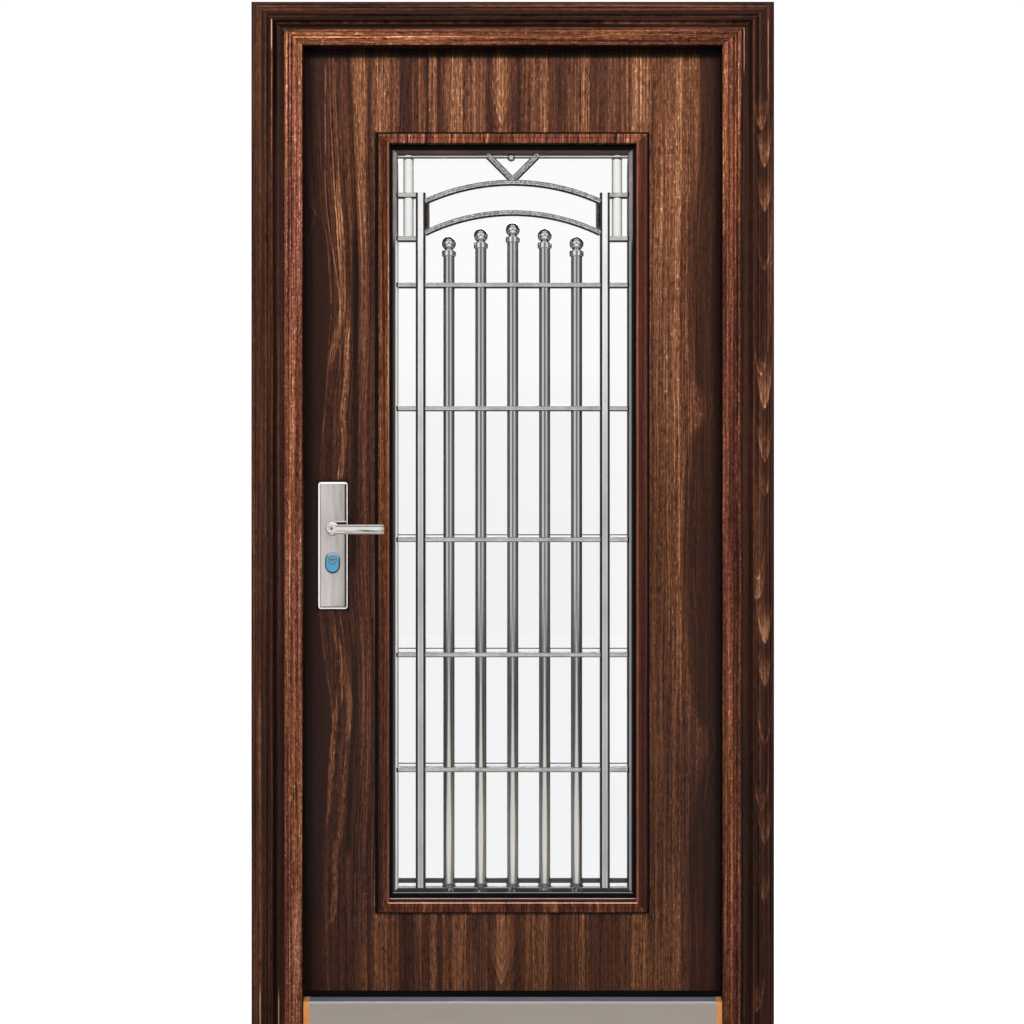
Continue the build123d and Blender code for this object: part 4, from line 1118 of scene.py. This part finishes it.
def sill(name):
    """Brushed sill: warm in front; the slope painted darker and bluer as its reflection, with a painted sheen down its
    middle and a painted highlight along the arris.
    """
    g = Graph(name)
    x, y, z = g.xyz()
    lines = g.noise3(900.0, 2.0, 0.6, (0.012, 1, 1)) - 0.5
    soft = g.noise3(6.0, 3.0, 0.55, (0.5, 1, 1)) - 0.5
    scuff_and_sheen = g.noise3(30.0, 3.0, 0.65, (0.3, 1, 1))
    tone = g.clamp(soft * 0.6 + lines * 0.6 + 0.5)
    front = g.mix_col(tone, (0.48, 0.42, 0.372), (0.70, 0.632, 0.568))
    # painted reflection: the slope darker and bluer
    top = g.mix_col(scuff_and_sheen, (0.22, 0.25, 0.34), (0.46, 0.51, 0.62))
    # painted sheen down the middle of the slope
    sheen = g.step(g.abs(x), 0.46, 0.05)
    top = g.mix_col(sheen * scuff_and_sheen * 0.7, top, (0.60, 0.65, 0.78))
    colour = g.mix_col(g.step(y, SILL_TOP, SILL_TOP + 0.0015), front, top)
    # painted highlight along the arris
    arris = g.step(g.abs(y - SILL_TOP - 0.0004), 0.0013, 0.0007)
    colour = g.mix_col(g.clamp(arris * (scuff_and_sheen * 0.6 + 0.55)), colour, (0.93, 0.96, 1.0))
    g.set(
        Base_Color=colour,
        Metallic=0.55 - arris * 0.45,
        Roughness=scuff_and_sheen * 0.16 + 0.28,
    )
    g.bump(lines, 0.00006, 0.5)
    return g.mat


leaf_wood = wood("leaf_walnut", "Z", "leaf", COOL, WARM, 0.205, 0.0)
casing_up = wood("casing_walnut_upright", "Z", "casing", COOL, WARM, 0.180, 20.0, 0.75)
casing_across = wood("casing_walnut_head", "X", "casing", COOL, WARM, 0.150, 40.0, 0.8)
jamb_up = wood("jamb_walnut_upright", "Z", "jamb", RED, ORANGE, 0.36, 60.0, 0.85)
jamb_across = wood("jamb_walnut_head", "X", "jamb", RED, ORANGE, 0.30, 80.0, 0.9)
bead_up = wood("bead_walnut_upright", "Z", "bead", RED, ORANGE, 0.19, 100.0, 1.1)
bead_end = wood("bead_walnut_ends", "Z", "bead", RED, ORANGE, 0.26, 120.0, 1.0)
sill_steel = sill("sill_steel")
plain_steel = metal("zinc_steel", (0.52, 0.52, 0.52), 0.34, "Z", 0.3, 0.12, 0.9)
polished = tube_steel("polished_stainless")
bar_steel = rod_steel("satin_crossbar", (0.90, 0.885, 0.86), 0.15, 0.36, "bar")
arch_steel = rod_steel("speckled_arch", (0.88, 0.87, 0.86), 0.80, 0.28, "arch")
vee_steel = rod_steel("speckled_vee", (0.84, 0.83, 0.82), 0.80, 0.28, "vee")
collar_steel = rod_steel("polished_collar", (0.42, 0.41, 0.40), 0.60, 0.10)
rail_steel = metal("dark_rail", (0.060, 0.064, 0.064), 0.34, "X", 0.3, 0.05, 0.2)
wire_steel = metal("grey_wire", (0.17, 0.17, 0.175), 0.30, "X", 0.3, 0.05, 0.3, 0.8)
head_strip = head_strip_steel("grille_head_lip")
foot_strip = foot_strip_paint("foot_strip_walnut")
stop_bar = stop_steel("handle_stop")
finial_steel = metal("polished_finial", (0.82, 0.81, 0.80), 0.05, "X", 0.0, 0.02)
post_steel = post_steel_of("satin_post")
boss_steel = metal("satin_boss", (0.88, 0.86, 0.84), 0.30, "Z", 0.3, 0.10, 0.30)
ring_side = ring_steel("grille_frame_steel", False)
ring_end_steel = ring_steel("grille_frame_head_steel", True)
satin = plate_steel("satin_plate")
satin_lever = lever_steel("satin_steel_lever")
black = rubber("black_rubber")
pane = glass("clear_glass")
blue = blue_anodised("blue_anodised")
plug_steel = plug_blue("blued_steel")
cap = copper("copper_cap")

WEAR = {
    "casing_left": casing_up,
    "casing_right": casing_up,
    "casing_head": casing_across,
    "jamb_lock_side": jamb_up,
    "jamb_hinge_side": jamb_up,
    "jamb_lock_web": jamb_up,
    "jamb_lock_core": jamb_up,
    "jamb_hinge_web": jamb_up,
    "jamb_head": jamb_across,
    "jamb_head_web": jamb_across,
    "leaf_lock_stile": leaf_wood,
    "leaf_hinge_stile": leaf_wood,
    "leaf_top_rail": leaf_wood,
    "leaf_bottom_rail": leaf_wood,
    "leaf_front_sheet": leaf_wood,
    "leaf_back_sheet": leaf_wood,
    "bead_front_sides": bead_up,
    "bead_back_sides": bead_up,
    "bead_front_ends": bead_end,
    "bead_back_ends": bead_end,
    "threshold": sill_steel,
    "threshold_end_caps": cap,
    "frame_seals": black,
    "bottom_sweep": black,
    "window_gasket_sides": black,
    "window_gasket_ends": black,
    "glass_pane": pane,
    "strike_plates": plain_steel,
    "strike_boxes": plain_steel,
    "hinge_frame_leaves": plain_steel,
    "hinge_door_leaves": plain_steel,
    "hinge_pins": plain_steel,
    "lock_faceplates": plain_steel,
    "lock_bolts": plain_steel,
    "spindle": plain_steel,
    "grille_frame_sides": ring_side,
    "grille_frame_ends": ring_end_steel,
    "grille_posts": post_steel,
    "grille_crossbars": bar_steel,
    "grille_side_bars": bar_steel,
    "grille_tubes": polished,
    "grille_finials": finial_steel,
    "grille_arch": arch_steel,
    "grille_v_brace": vee_steel,
    "handle_plate_front": satin,
    "handle_plate_back": satin,
    "lever_front": satin_lever,
    "lever_back": satin_lever,
    "cylinder_guard_front": blue,
    "cylinder_guard_back": blue,
    "cylinder_plug_front": plug_steel,
    "cylinder_plug_back": plug_steel,
}
for name, o in nodes.items():
    for s in o.material_slots:
        s.material = WEAR[name]

# ------------------------------------------------------------------------ pieces


def piece(name, mesh_or_bm, material, body):
    if isinstance(mesh_or_bm, bmesh.types.BMesh):
        mesh = bpy.data.meshes.new(name)
        bmesh.ops.recalc_face_normals(mesh_or_bm, faces=mesh_or_bm.faces)
        mesh_or_bm.to_mesh(mesh)
        mesh_or_bm.free()
    else:
        mesh = mesh_or_bm
    o = bpy.data.objects.new(name, mesh)
    scene.collection.objects.link(o)
    mesh.materials.clear()
    mesh.materials.append(material)
    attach(o, body)
    return o


def turned(bm, profile, centre, axis, segments=24):
    """Adds a solid of revolution. profile is (radius, distance along axis) from the first cap to the last."""
    axis = Vector(axis).normalized()
    side = axis.orthogonal().normalized()
    other = axis.cross(side)
    rings = []
    for r, d in profile:
        mid = Vector(centre) + axis * d
        if r < 1e-6:
            rings.append([bm.verts.new(mid)])
        else:
            rings.append(
                [
                    bm.verts.new(
                        mid
                        + side * (r * math.cos(2 * math.pi * i / segments))
                        + other * (r * math.sin(2 * math.pi * i / segments))
                    )
                    for i in range(segments)
                ]
            )
    for a, b in zip(rings, rings[1:]):
        for i in range(segments):
            j = (i + 1) % segments
            if len(a) == 1 and len(b) > 1:
                bm.faces.new((a[0], b[i], b[j]))
            elif len(b) == 1 and len(a) > 1:
                bm.faces.new((a[i], a[j], b[0]))
            elif len(a) > 1:
                bm.faces.new((a[i], a[j], b[j], b[i]))
    for f in bm.faces:
        f.smooth = True
    return bm


def bar(bm, lo, hi):
    """Adds a box between two corners."""
    vs = [
        bm.verts.new((x, y, z)) for x in (lo[0], hi[0]) for y in (lo[1], hi[1]) for z in (lo[2], hi[2])
    ]
    for q in ((0, 1, 3, 2), (4, 6, 7, 5), (0, 4, 5, 1), (2, 3, 7, 6), (0, 2, 6, 4), (1, 5, 7, 3)):
        bm.faces.new([vs[i] for i in q])
    return bm


def softened(o, width, segments=2, angle=30):
    m = o.modifiers.new("edge", "BEVEL")
    m.width = width
    m.segments = segments
    m.limit_method = "ANGLE"
    m.angle_limit = math.radians(angle)
    m.harden_normals = True
    for f in o.data.polygons:
        f.use_smooth = True
    return o


def screw(bm, at, axis, r=0.0042, proud=0.0006):
    """A countersunk screw head with a round socket."""
    axis = Vector(axis).normalized()
    at = Vector(at)
    turned(
        bm,
        [
            (r, -0.0004),
            (r, proud * 0.4),
            (r * 0.86, proud),
            (r * 0.44, proud),
            (r * 0.40, proud * 0.2),
            (0.0, proud * 0.1),
        ],
        at,
        axis,
        18,
    )


# screws of the hinges, the strike plates, the edge plates and the back plate
bm = bmesh.new()
for z in (0.260, 1.025, 1.790):
    for dz in (-0.044, -0.015, 0.015, 0.044):
        screw(bm, (0.4485, 0.0925, z + dz), (0, 1, 0), 0.0038)
piece("hinge_frame_screws", bm, plain_steel, "frame")
bm = bmesh.new()
for z in (0.260, 1.025, 1.790):
    for dz in (-0.044, -0.015, 0.015, 0.044):
        screw(bm, (0.406 + (0.008 if abs(dz) < 0.03 else 0.0), 0.0900, z + dz), (0, 1, 0))
piece("hinge_leaf_screws", bm, plain_steel, "leaf")
bm = bmesh.new()
for z, tall in ((0.350, 0.100), (0.985, 0.270), (1.690, 0.100)):
    for s in (-1, 1):
        screw(bm, (-0.440, 0.057, z + s * (tall / 2 - 0.010)), (1, 0, 0), 0.0038)
piece("strike_plate_screws", bm, plain_steel, "frame")
bm = bmesh.new()
for z, tall in ((0.350, 0.100), (0.985, 0.270), (1.690, 0.100)):
    for s in (-1, 1):
        screw(bm, (-0.4315, 0.057, z + s * (tall / 2 - 0.010)), (-1, 0, 0), 0.0038)
piece("edge_plate_screws", bm, plain_steel, "leaf")
bm = bmesh.new()
for z in (0.852, 1.0705):
    screw(bm, (-0.3633, 0.095, z), (0, 1, 0), 0.0045)
piece("back_plate_screws", bm, satin, "leaf")

# dark seal round the outside of the front bead, made wider on the lock side as painted shadow of the bead
bm = bmesh.new()
for s in (-1, 1):
    a, b = sorted((s * 0.2715, s * (0.2785 if s < 0 else 0.2765)))
    bar(bm, (a, 0.0255, 0.2185), (b, 0.0272, 1.7965))
bar(bm, (-0.2715, 0.0255, 1.7920), (0.2715, 0.0272, 1.7965))
bar(bm, (-0.2715, 0.0255, 0.2185), (0.2715, 0.0272, 0.2210))
piece("bead_edge_seal_and_shadow", bm, black, "leaf")

# small dark clips where the side bars meet the grille's frame
bm = bmesh.new()
for z in (0.506, 0.7392, 0.973, 1.2391, 1.4896, 1.5838, 1.6722):
    for s in (-1, 1):
        a, b = sorted((s * 0.2328, s * 0.2364))
        bar(bm, (a, 0.0420, z - 0.0046), (b, 0.050, z + 0.0046))
o = piece("grille_end_clips", bm, black, "leaf")
softened(o, 0.0008)

# weld at the grille's head, above the point of the V
bm = bmesh.new()
turned(
    bm,
    [(0.0, -0.009), (0.0045, -0.0078), (0.0078, -0.0045), (0.009, 0.0), (0.0078, 0.0045), (0.0045, 0.0078), (0.0, 0.009)],
    (-0.003, 0.049, 1.7492),
    (1, 0, 0),
    20,
)
piece("grille_head_stud", bm, finial_steel, "leaf")


def ring_loop(w, h, r, inset, y, cx, cz, n=7):
    """Points round a rounded rectangle that faces along y, set in by inset."""
    hw, hh = w / 2 - inset, h / 2 - inset
    r = min(max(r - inset, 0.0006), hw - 0.0001, hh - 0.0001)
    pts = []
    for sx, sz, a0 in ((1, 1, 0), (-1, 1, 90), (-1, -1, 180), (1, -1, 270)):
        for i in range(n + 1):
            a = math.radians(a0 + 90 * i / n)
            pts.append((cx + sx * (hw - r) + r * math.cos(a), y, cz + sz * (hh - r) + r * math.sin(a)))
    return pts


def loft(bm, loops, smooth=False):
    """Adds a closed solid through loops that have the same number of points."""
    rings = [[bm.verts.new(p) for p in loop] for loop in loops]
    n = len(rings[0])
    for a, b in zip(rings, rings[1:]):
        for i in range(n):
            j = (i + 1) % n
            bm.faces.new((a[i], a[j], b[j], b[i])).smooth = smooth
    for cap in (list(reversed(rings[0])), rings[-1]):
        for e in bm.faces.new(cap).edges:
            e.smooth = False
    return bm


def handle_plate(name, node, face, out):
    """The plate: a thin flat rim, a steep bevel, and the face."""
    bm = bmesh.new()
    steps = ((0.0, 0.0), (0.0, 0.0019), (0.0005, 0.0025), (0.0026, 0.0025), (0.0031, 0.0029), (0.0054, 0.0075), (0.0060, 0.0080))
    loft(bm, [ring_loop(0.0592, 0.2565, 0.0055, i, face + out * d, -0.3633, 0.96125) for i, d in steps])
    o = piece(name, bm, satin, "leaf")
    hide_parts(node)
    return o


handle_plate("handle_plate_front_bevelled", "handle_plate_front", 0.027, -1)
handle_plate("handle_plate_back_bevelled", "handle_plate_back", 0.087, 1)


def lever(name, node, face, out):
    """Neck, round hub with a dimple, and a bar with a groove under its top edge."""
    bm = bmesh.new()
    px, pz = -0.3633, 0.9957
    at = (px, face, pz)
    axis = (0, out, 0)
    turned(
        bm,
        [(0.0, 0.001), (0.0090, 0.001), (0.0090, 0.0115), (0.0078, 0.0200), (0.0078, 0.0380), (0.0088, 0.0479), (0.0, 0.0479)],
        at,
        axis,
        28,
    )
    turned(
        bm,
        [
            (0.0, 0.0480),
            (0.0088, 0.0480),
            (0.0095, 0.0488),
            (0.0095, 0.0568),
            (0.0086, 0.0592),
            (0.0070, 0.0600),
            (0.0054, 0.0594),
            (0.0040, 0.0562),
            (0.0022, 0.0552),
            (0.0, 0.0550),
        ],
        at,
        axis,
        36,
    )
    # section of the bar: (height from the middle, distance out from the leaf)
    section = (
        (-0.0112, 0.0485),
        (-0.0112, 0.0556),
        (-0.0080, 0.0592),
        (0.0038, 0.0594),
        (0.0044, 0.0584),
        (0.0050, 0.0584),
        (0.0058, 0.0594),
        (0.0080, 0.0572),
        (0.0080, 0.0485),
    )
    loops = []
    for x, back in ((px + 0.0060, 0.0), (-0.2640, 0.0), (-0.2585, 0.0036), (-0.2573, 0.0064)):
        loops.append(
            [(x, face + out * (d - (back if d > 0.052 else 0.0)), pz + h) for h, d in section]
        )
    loft(bm, loops)
    o = piece(name, bm, satin_lever, "handle")
    o.visible_shadow = False
    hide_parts(node)
    m = o.modifiers.new("edge", "BEVEL")
    m.width = 0.0004
    m.segments = 2
    m.limit_method = "ANGLE"
    m.angle_limit = math.radians(25)
    return o


lever("lever_front_shaped", "lever_front", 0.027, -1)
lever("lever_back_shaped", "lever_back", 0.087, 1)

# raised boss round the neck, with the stop bar beside it
for name, face, out in (("handle_boss_front", 0.019, -1), ("handle_boss_back", 0.095, 1)):
    bm = bmesh.new()
    turned(
        bm,
        [(0.0, -0.0006), (0.0132, -0.0006), (0.0134, 0.0030), (0.0124, 0.0048), (0.0104, 0.0056), (0.0, 0.0056)],
        (-0.3633, face, 0.9957),
        (0, out, 0),
        40,
    )
    o = piece(name, bm, boss_steel, "leaf")
    bm = bmesh.new()
    loft(
        bm,
        [
            ring_loop(0.0250, 0.0090, 0.0020, i, face + out * d, -0.3475, 1.0063)
            for i, d in ((0.0, -0.0006), (0.0, 0.0036), (0.0012, 0.0048), (0.0022, 0.0048), (0.0028, 0.0022))
        ],
    )
    o = piece(name.replace("boss", "stop"), bm, stop_bar, "leaf")

# ring round the key plug
for name, face, out in (("key_ring_front", 0.014, -1), ("key_ring_back", 0.100, 1)):
    bm = bmesh.new()
    loops = []
    for r, d in ((0.0083, -0.0004), (0.0083, 0.0005), (0.0089, 0.0010), (0.0096, 0.0005), (0.0098, -0.0004)):
        loops.append((r, d))
    n = 36
    rings = [
        [
            bm.verts.new((-0.3633 + r * math.cos(2 * math.pi * i / n), face + out * d, 0.9330 + r * math.sin(2 * math.pi * i / n)))
            for i in range(n)
        ]
        for r, d in loops
    ]
    for a, b in zip(rings, rings[1:] + rings[:1]):
        for i in range(n):
            j = (i + 1) % n
            bm.faces.new((a[i], a[j], b[j], b[i])).smooth = True
    piece(name, bm, plug_steel, "leaf")



def rod(bm, stations, half, deep, r, mid, n=5):
    """Adds a rounded bar. stations are (x, z, across x, across z) along its middle; half is
    half its height across, deep half its depth, mid where its middle is in y."""
    section = []
    for sa, sb, a0 in ((1, 1, 0), (-1, 1, 90), (-1, -1, 180), (1, -1, 270)):
        for i in range(n + 1):
            t = math.radians(a0 + 90 * i / n)
            section.append((sa * (half - r) + r * math.cos(t), sb * (deep - r) + r * math.sin(t)))
    loft(
        bm,
        [[(x + ax * a, mid + b, z + az * a) for a, b in section] for x, z, ax, az in stations],
        smooth=True,
    )


def rods(name, bm, material, *replaced):
    o = piece(name, bm, material, "leaf")
    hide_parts(*replaced)
    return o


# crossbars between the posts, and the short bars from the posts to the grille's frame
LEVELS = (0.506, 0.7392, 0.973, 1.2391, 1.4896)
bm = bmesh.new()
for z in LEVELS:
    rod(bm, [(x, z, 0, 1) for x in (-0.1775, -0.09, 0.0, 0.09, 0.1775)], 0.0050, 0.0140, 0.0034, 0.057)
rods("grille_crossbars_rounded", bm, bar_steel, "grille_crossbars")
bm = bmesh.new()
for z in LEVELS + (1.5838, 1.6722):
    for s in (-1, 1):
        a, b = sorted((s * 0.1965, s * 0.2335))
        rod(bm, [(x, z, 0, 1) for x in (a, (a + b) / 2, b)], 0.0050, 0.0140, 0.0034, 0.057)
rods("grille_side_bars_rounded", bm, bar_steel, "grille_side_bars")

# the two arches with their end uprights
bm = bmesh.new()
for crown, radius in ((1.7033, 0.4365), (1.6419, 0.4116)):
    mid = radius - 0.0055
    end = math.asin(0.1778 / mid)
    turns = [(-1 + 2 * i / 40) * end for i in range(41)]
    rod(
        bm,
        [(mid * math.sin(t), crown - radius + mid * math.cos(t), math.sin(t), math.cos(t)) for t in turns],
        0.0055,
        0.0100,
        0.0042,
        0.053,
    )
for s in (-1, 1):
    rod(bm, [(s * 0.1730, z, 1, 0) for z in (1.604, 1.630, 1.656)], 0.0040, 0.0098, 0.0034, 0.053)
rods("grille_arch_rounded", bm, arch_steel, "grille_arch")

# the V
bm = bmesh.new()
d = math.sqrt(0.5)
for s in (-1, 1):
    rod(
        bm,
        [(s * (0.05195 - k), 1.7545 - k, s * d, -d) for k in (0.0, 0.025, 0.0495)],
        0.00675,
        0.0080,
        0.0046,
        0.051,
    )
rods("grille_v_brace_rounded", bm, vee_steel, "grille_v_brace")

# a black block deep in the keyway, standing in for its shade
bm = bmesh.new()
bar(bm, (-0.3633 - 0.00545, 0.0250, 0.9330 - 0.00190), (-0.3633 + 0.00545, 0.0270, 0.9330 + 0.00190))
piece("keyway_back", bm, black, "key_plug")

# collars at the feet of the tubes
bm = bmesh.new()
for i in range(-2, 3):
    turned(
        bm,
        [
            (0.0, -0.0004),
            (0.0136, -0.0004),
            (0.0140, 0.0012),
            (0.0132, 0.0030),
            (0.0120, 0.0040),
            (0.0130, 0.0050),
            (0.0134, 0.0062),
            (0.0126, 0.0078),
            (0.0112, 0.0084),
            (0.0, 0.0084),
        ],
        (i * 0.0649, 0.057, 0.2668),
        (0, 0, 1),
        28,
    )
piece("grille_tube_feet", bm, collar_steel, "leaf")

# the grille's foot rail, behind the tubes, and the lip under its head
bm = bmesh.new()
rod(bm, [(x, 0.2772, 0, 1) for x in (-0.2335, 0.0, 0.2335)], 0.0050, 0.0016, 0.0010, 0.0708, 3)
piece("grille_foot_rail", bm, rail_steel, "leaf")
bm = bmesh.new()
for z in (0.5164, 0.7509, 0.9826):
    rod(bm, [(x, z, 0, 1) for x in (-0.2335, 0.0, 0.2335)], 0.0012, 0.0010, 0.0006, 0.0712, 3)
piece("grille_wires", bm, wire_steel, "leaf")
bm = bmesh.new()
rod(bm, [(x, 1.7489, 0, 1) for x in (-0.2332, 0.0, 0.2332)], 0.0027, 0.0022, 0.0010, 0.0460, 3)
piece("grille_head_lip", bm, head_strip, "leaf")

# narrow strip inside the foot of the front bead
bm = bmesh.new()
rod(bm, [(x, 0.2442, 0, 1) for x in (-0.2490, 0.0, 0.2490)], 0.0030, 0.0030, 0.0010, 0.0335, 3)
piece("bead_foot_strip", bm, foot_strip, "leaf")

# ------------------------------------------------------------------------- floor
mesh = bpy.data.meshes.new("floor")
size = 14.0
mesh.from_pydata(
    [(-size, -size, 0), (size, -size, 0), (size, size, 0), (-size, size, 0)],
    [],
    [(0, 1, 2, 3)],
)
floor = bpy.data.objects.new("floor", mesh)
scene.collection.objects.link(floor)
g = Graph("pale_floor")
path = g.new("ShaderNodeLightPath")
bounced = g.math("MINIMUM", Sock(g, path.outputs["Glossy Depth"]) + Sock(g, path.outputs["Diffuse Depth"]), 1.0)
through = Sock(g, path.outputs["Is Transmission Ray"]) * (1.0 - bounced)
seen = Sock(g, path.outputs["Is Camera Ray"]) * 0.90 + through * 0.985
# a pool of light in front of the door, which polished metal near the floor reflects
fx, fy, fz = g.xyz()
pool = Sock(g, path.outputs["Is Glossy Ray"]) * g.step(fy, -1.20, -1.70) * g.step(g.abs(fx), 3.2, 1.6)
g.set(
    Base_Color=g.mix_col(
        through,
        g.mix_col(Sock(g, path.outputs["Is Glossy Ray"]), (0.84, 0.83, 0.82), (0.42, 0.42, 0.43)),
        (0.0, 0.0, 0.0),
    ),
    Roughness=0.8,
    Specular_IOR_Level=0.0,
    Emission_Color=(1.0, 1.0, 1.0, 1.0),
    Emission_Strength=seen + pool * 0.85,
)
mesh.materials.append(g.mat)

# ------------------------------------------------------------------------ lights


def softbox(name, at, aim, wide, tall, power, colour=(1, 1, 1), spread=180, gloss=True, fill=True):
    d = bpy.data.lights.new(name, "AREA")
    d.shape = "RECTANGLE"
    d.size, d.size_y = wide, tall
    d.energy = power
    d.color = colour
    d.spread = math.radians(spread)
    o = bpy.data.objects.new(name, d)
    o.location = at
    o.rotation_euler = (Vector(aim) - Vector(at)).to_track_quat("-Z", "Y").to_euler()
    o.visible_camera = False
    o.visible_glossy = gloss
    o.visible_diffuse = fill
    scene.collection.objects.link(o)
    return o


softbox("key", (0.0, -4.0, 3.45), (0.0, 0.0, 1.95), 2.6, 1.30, 80, (1, 0.985, 0.965), 90, gloss=False)
softbox("left_strip", (-2.6, -0.42, 1.05), (0.0, 0.0, 1.05), 0.45, 2.6, 0.7, fill=False)
softbox("right_strip", (2.6, -0.42, 1.05), (0.0, 0.0, 1.05), 0.45, 2.6, 0.5, fill=False)
softbox("over_strip", (0.0, -0.50, 3.6), (0.0, 0.0, 1.2), 2.6, 0.35, 3.0, fill=False)
softbox("back", (0.6, 4.2, 3.2), (0.0, 0.1, 1.2), 2.4, 1.6, 45, spread=110, gloss=False)

world = bpy.data.worlds.new("studio")
scene.world = world
world.use_nodes = True
t = world.node_tree
t.nodes.clear()
out = t.nodes.new("ShaderNodeOutputWorld")
bg = t.nodes.new("ShaderNodeBackground")
path = t.nodes.new("ShaderNodeLightPath")
t.links.new(bg.outputs[0], out.inputs[0])


def wmath(op, a, b=0.0, clamp=False):
    n = t.nodes.new("ShaderNodeMath")
    n.operation = op
    n.use_clamp = clamp
    for v, s in zip((a, b), n.inputs):
        if isinstance(v, bpy.types.NodeSocket):
            t.links.new(v, s)
        else:
            s.default_value = v
    return n.outputs[0]


coord = t.nodes.new("ShaderNodeTexCoord")
sep = t.nodes.new("ShaderNodeSeparateXYZ")
t.links.new(coord.outputs["Generated"], sep.inputs[0])
dx, dy, dz = sep.outputs
mirrored = wmath("MINIMUM", path.outputs["Glossy Depth"], 1.0)
bounced = wmath("MINIMUM", wmath("ADD", path.outputs["Glossy Depth"], path.outputs["Diffuse Depth"]), 1.0)
through = wmath("MULTIPLY", path.outputs["Is Transmission Ray"], wmath("SUBTRACT", 1.0, bounced))
seen = wmath("MAXIMUM", path.outputs["Is Camera Ray"], through)
# The studio as the metal sees it: a ring of soft panels round the viewer's side,
# grey to the sides, and dark behind the door but for a pale wall far back.
turn = wmath("ADD", wmath("MULTIPLY", dy, 0.5), 0.5)
ramp = t.nodes.new("ShaderNodeValToRGB")
t.links.new(turn, ramp.inputs[0])
e = ramp.color_ramp.elements
while len(e) > 1:
    e.remove(e[-1])
levels = [
    (0.0, 0.27),
    (0.018, 0.31),
    (0.045, 0.92),
    (0.110, 1.08),
    (0.180, 0.84),
    (0.235, 0.36),
    (0.300, 0.16),
    (0.450, 0.08),
    (0.880, 0.07),
    (0.950, 0.20),
    (1.0, 0.34),
]
e[0].position, e[0].color = levels[0][0], (levels[0][1],) * 3 + (1,)
for at, level in levels[1:]:
    e.new(at).color = (level, level, level, 1)
env = wmath("MULTIPLY", ramp.outputs[0], wmath("SUBTRACT", 1.0, wmath("MULTIPLY", dx, 0.14)))
env = wmath("MULTIPLY", env, wmath("SUBTRACT", 1.0, wmath("MULTIPLY", dz, 0.45)))
env = wmath("MAXIMUM", env, 0.04)
glossy = wmath(
    "MAXIMUM", path.outputs["Is Glossy Ray"], wmath("MULTIPLY", path.outputs["Is Transmission Ray"], mirrored)
)
value = wmath("ADD", wmath("MULTIPLY", glossy, env), wmath("MULTIPLY", wmath("SUBTRACT", 1.0, glossy), 0.126))
value = wmath("ADD", wmath("MULTIPLY", seen, 1.02), wmath("MULTIPLY", wmath("SUBTRACT", 1.0, seen), value))
t.links.new(value, bg.inputs["Strength"])
bg.inputs["Color"].default_value = (1, 1, 1, 1)

# ------------------------------------------------------------------------ camera
cam_data = bpy.data.cameras.new("camera")
cam = bpy.data.objects.new("camera", cam_data)
scene.collection.objects.link(cam)
cam.location = (-0.0015, -4.52, 1.029)
cam.rotation_euler = (math.pi / 2, 0, 0)
cam_data.sensor_width = 36.0
cam_data.lens = 36.0 * 4.5 / 2.048
cam_data.clip_start, cam_data.clip_end = 0.05, 100.0
scene.camera = cam
scene.view_settings.view_transform = "Standard"
scene.view_settings.look = "None"
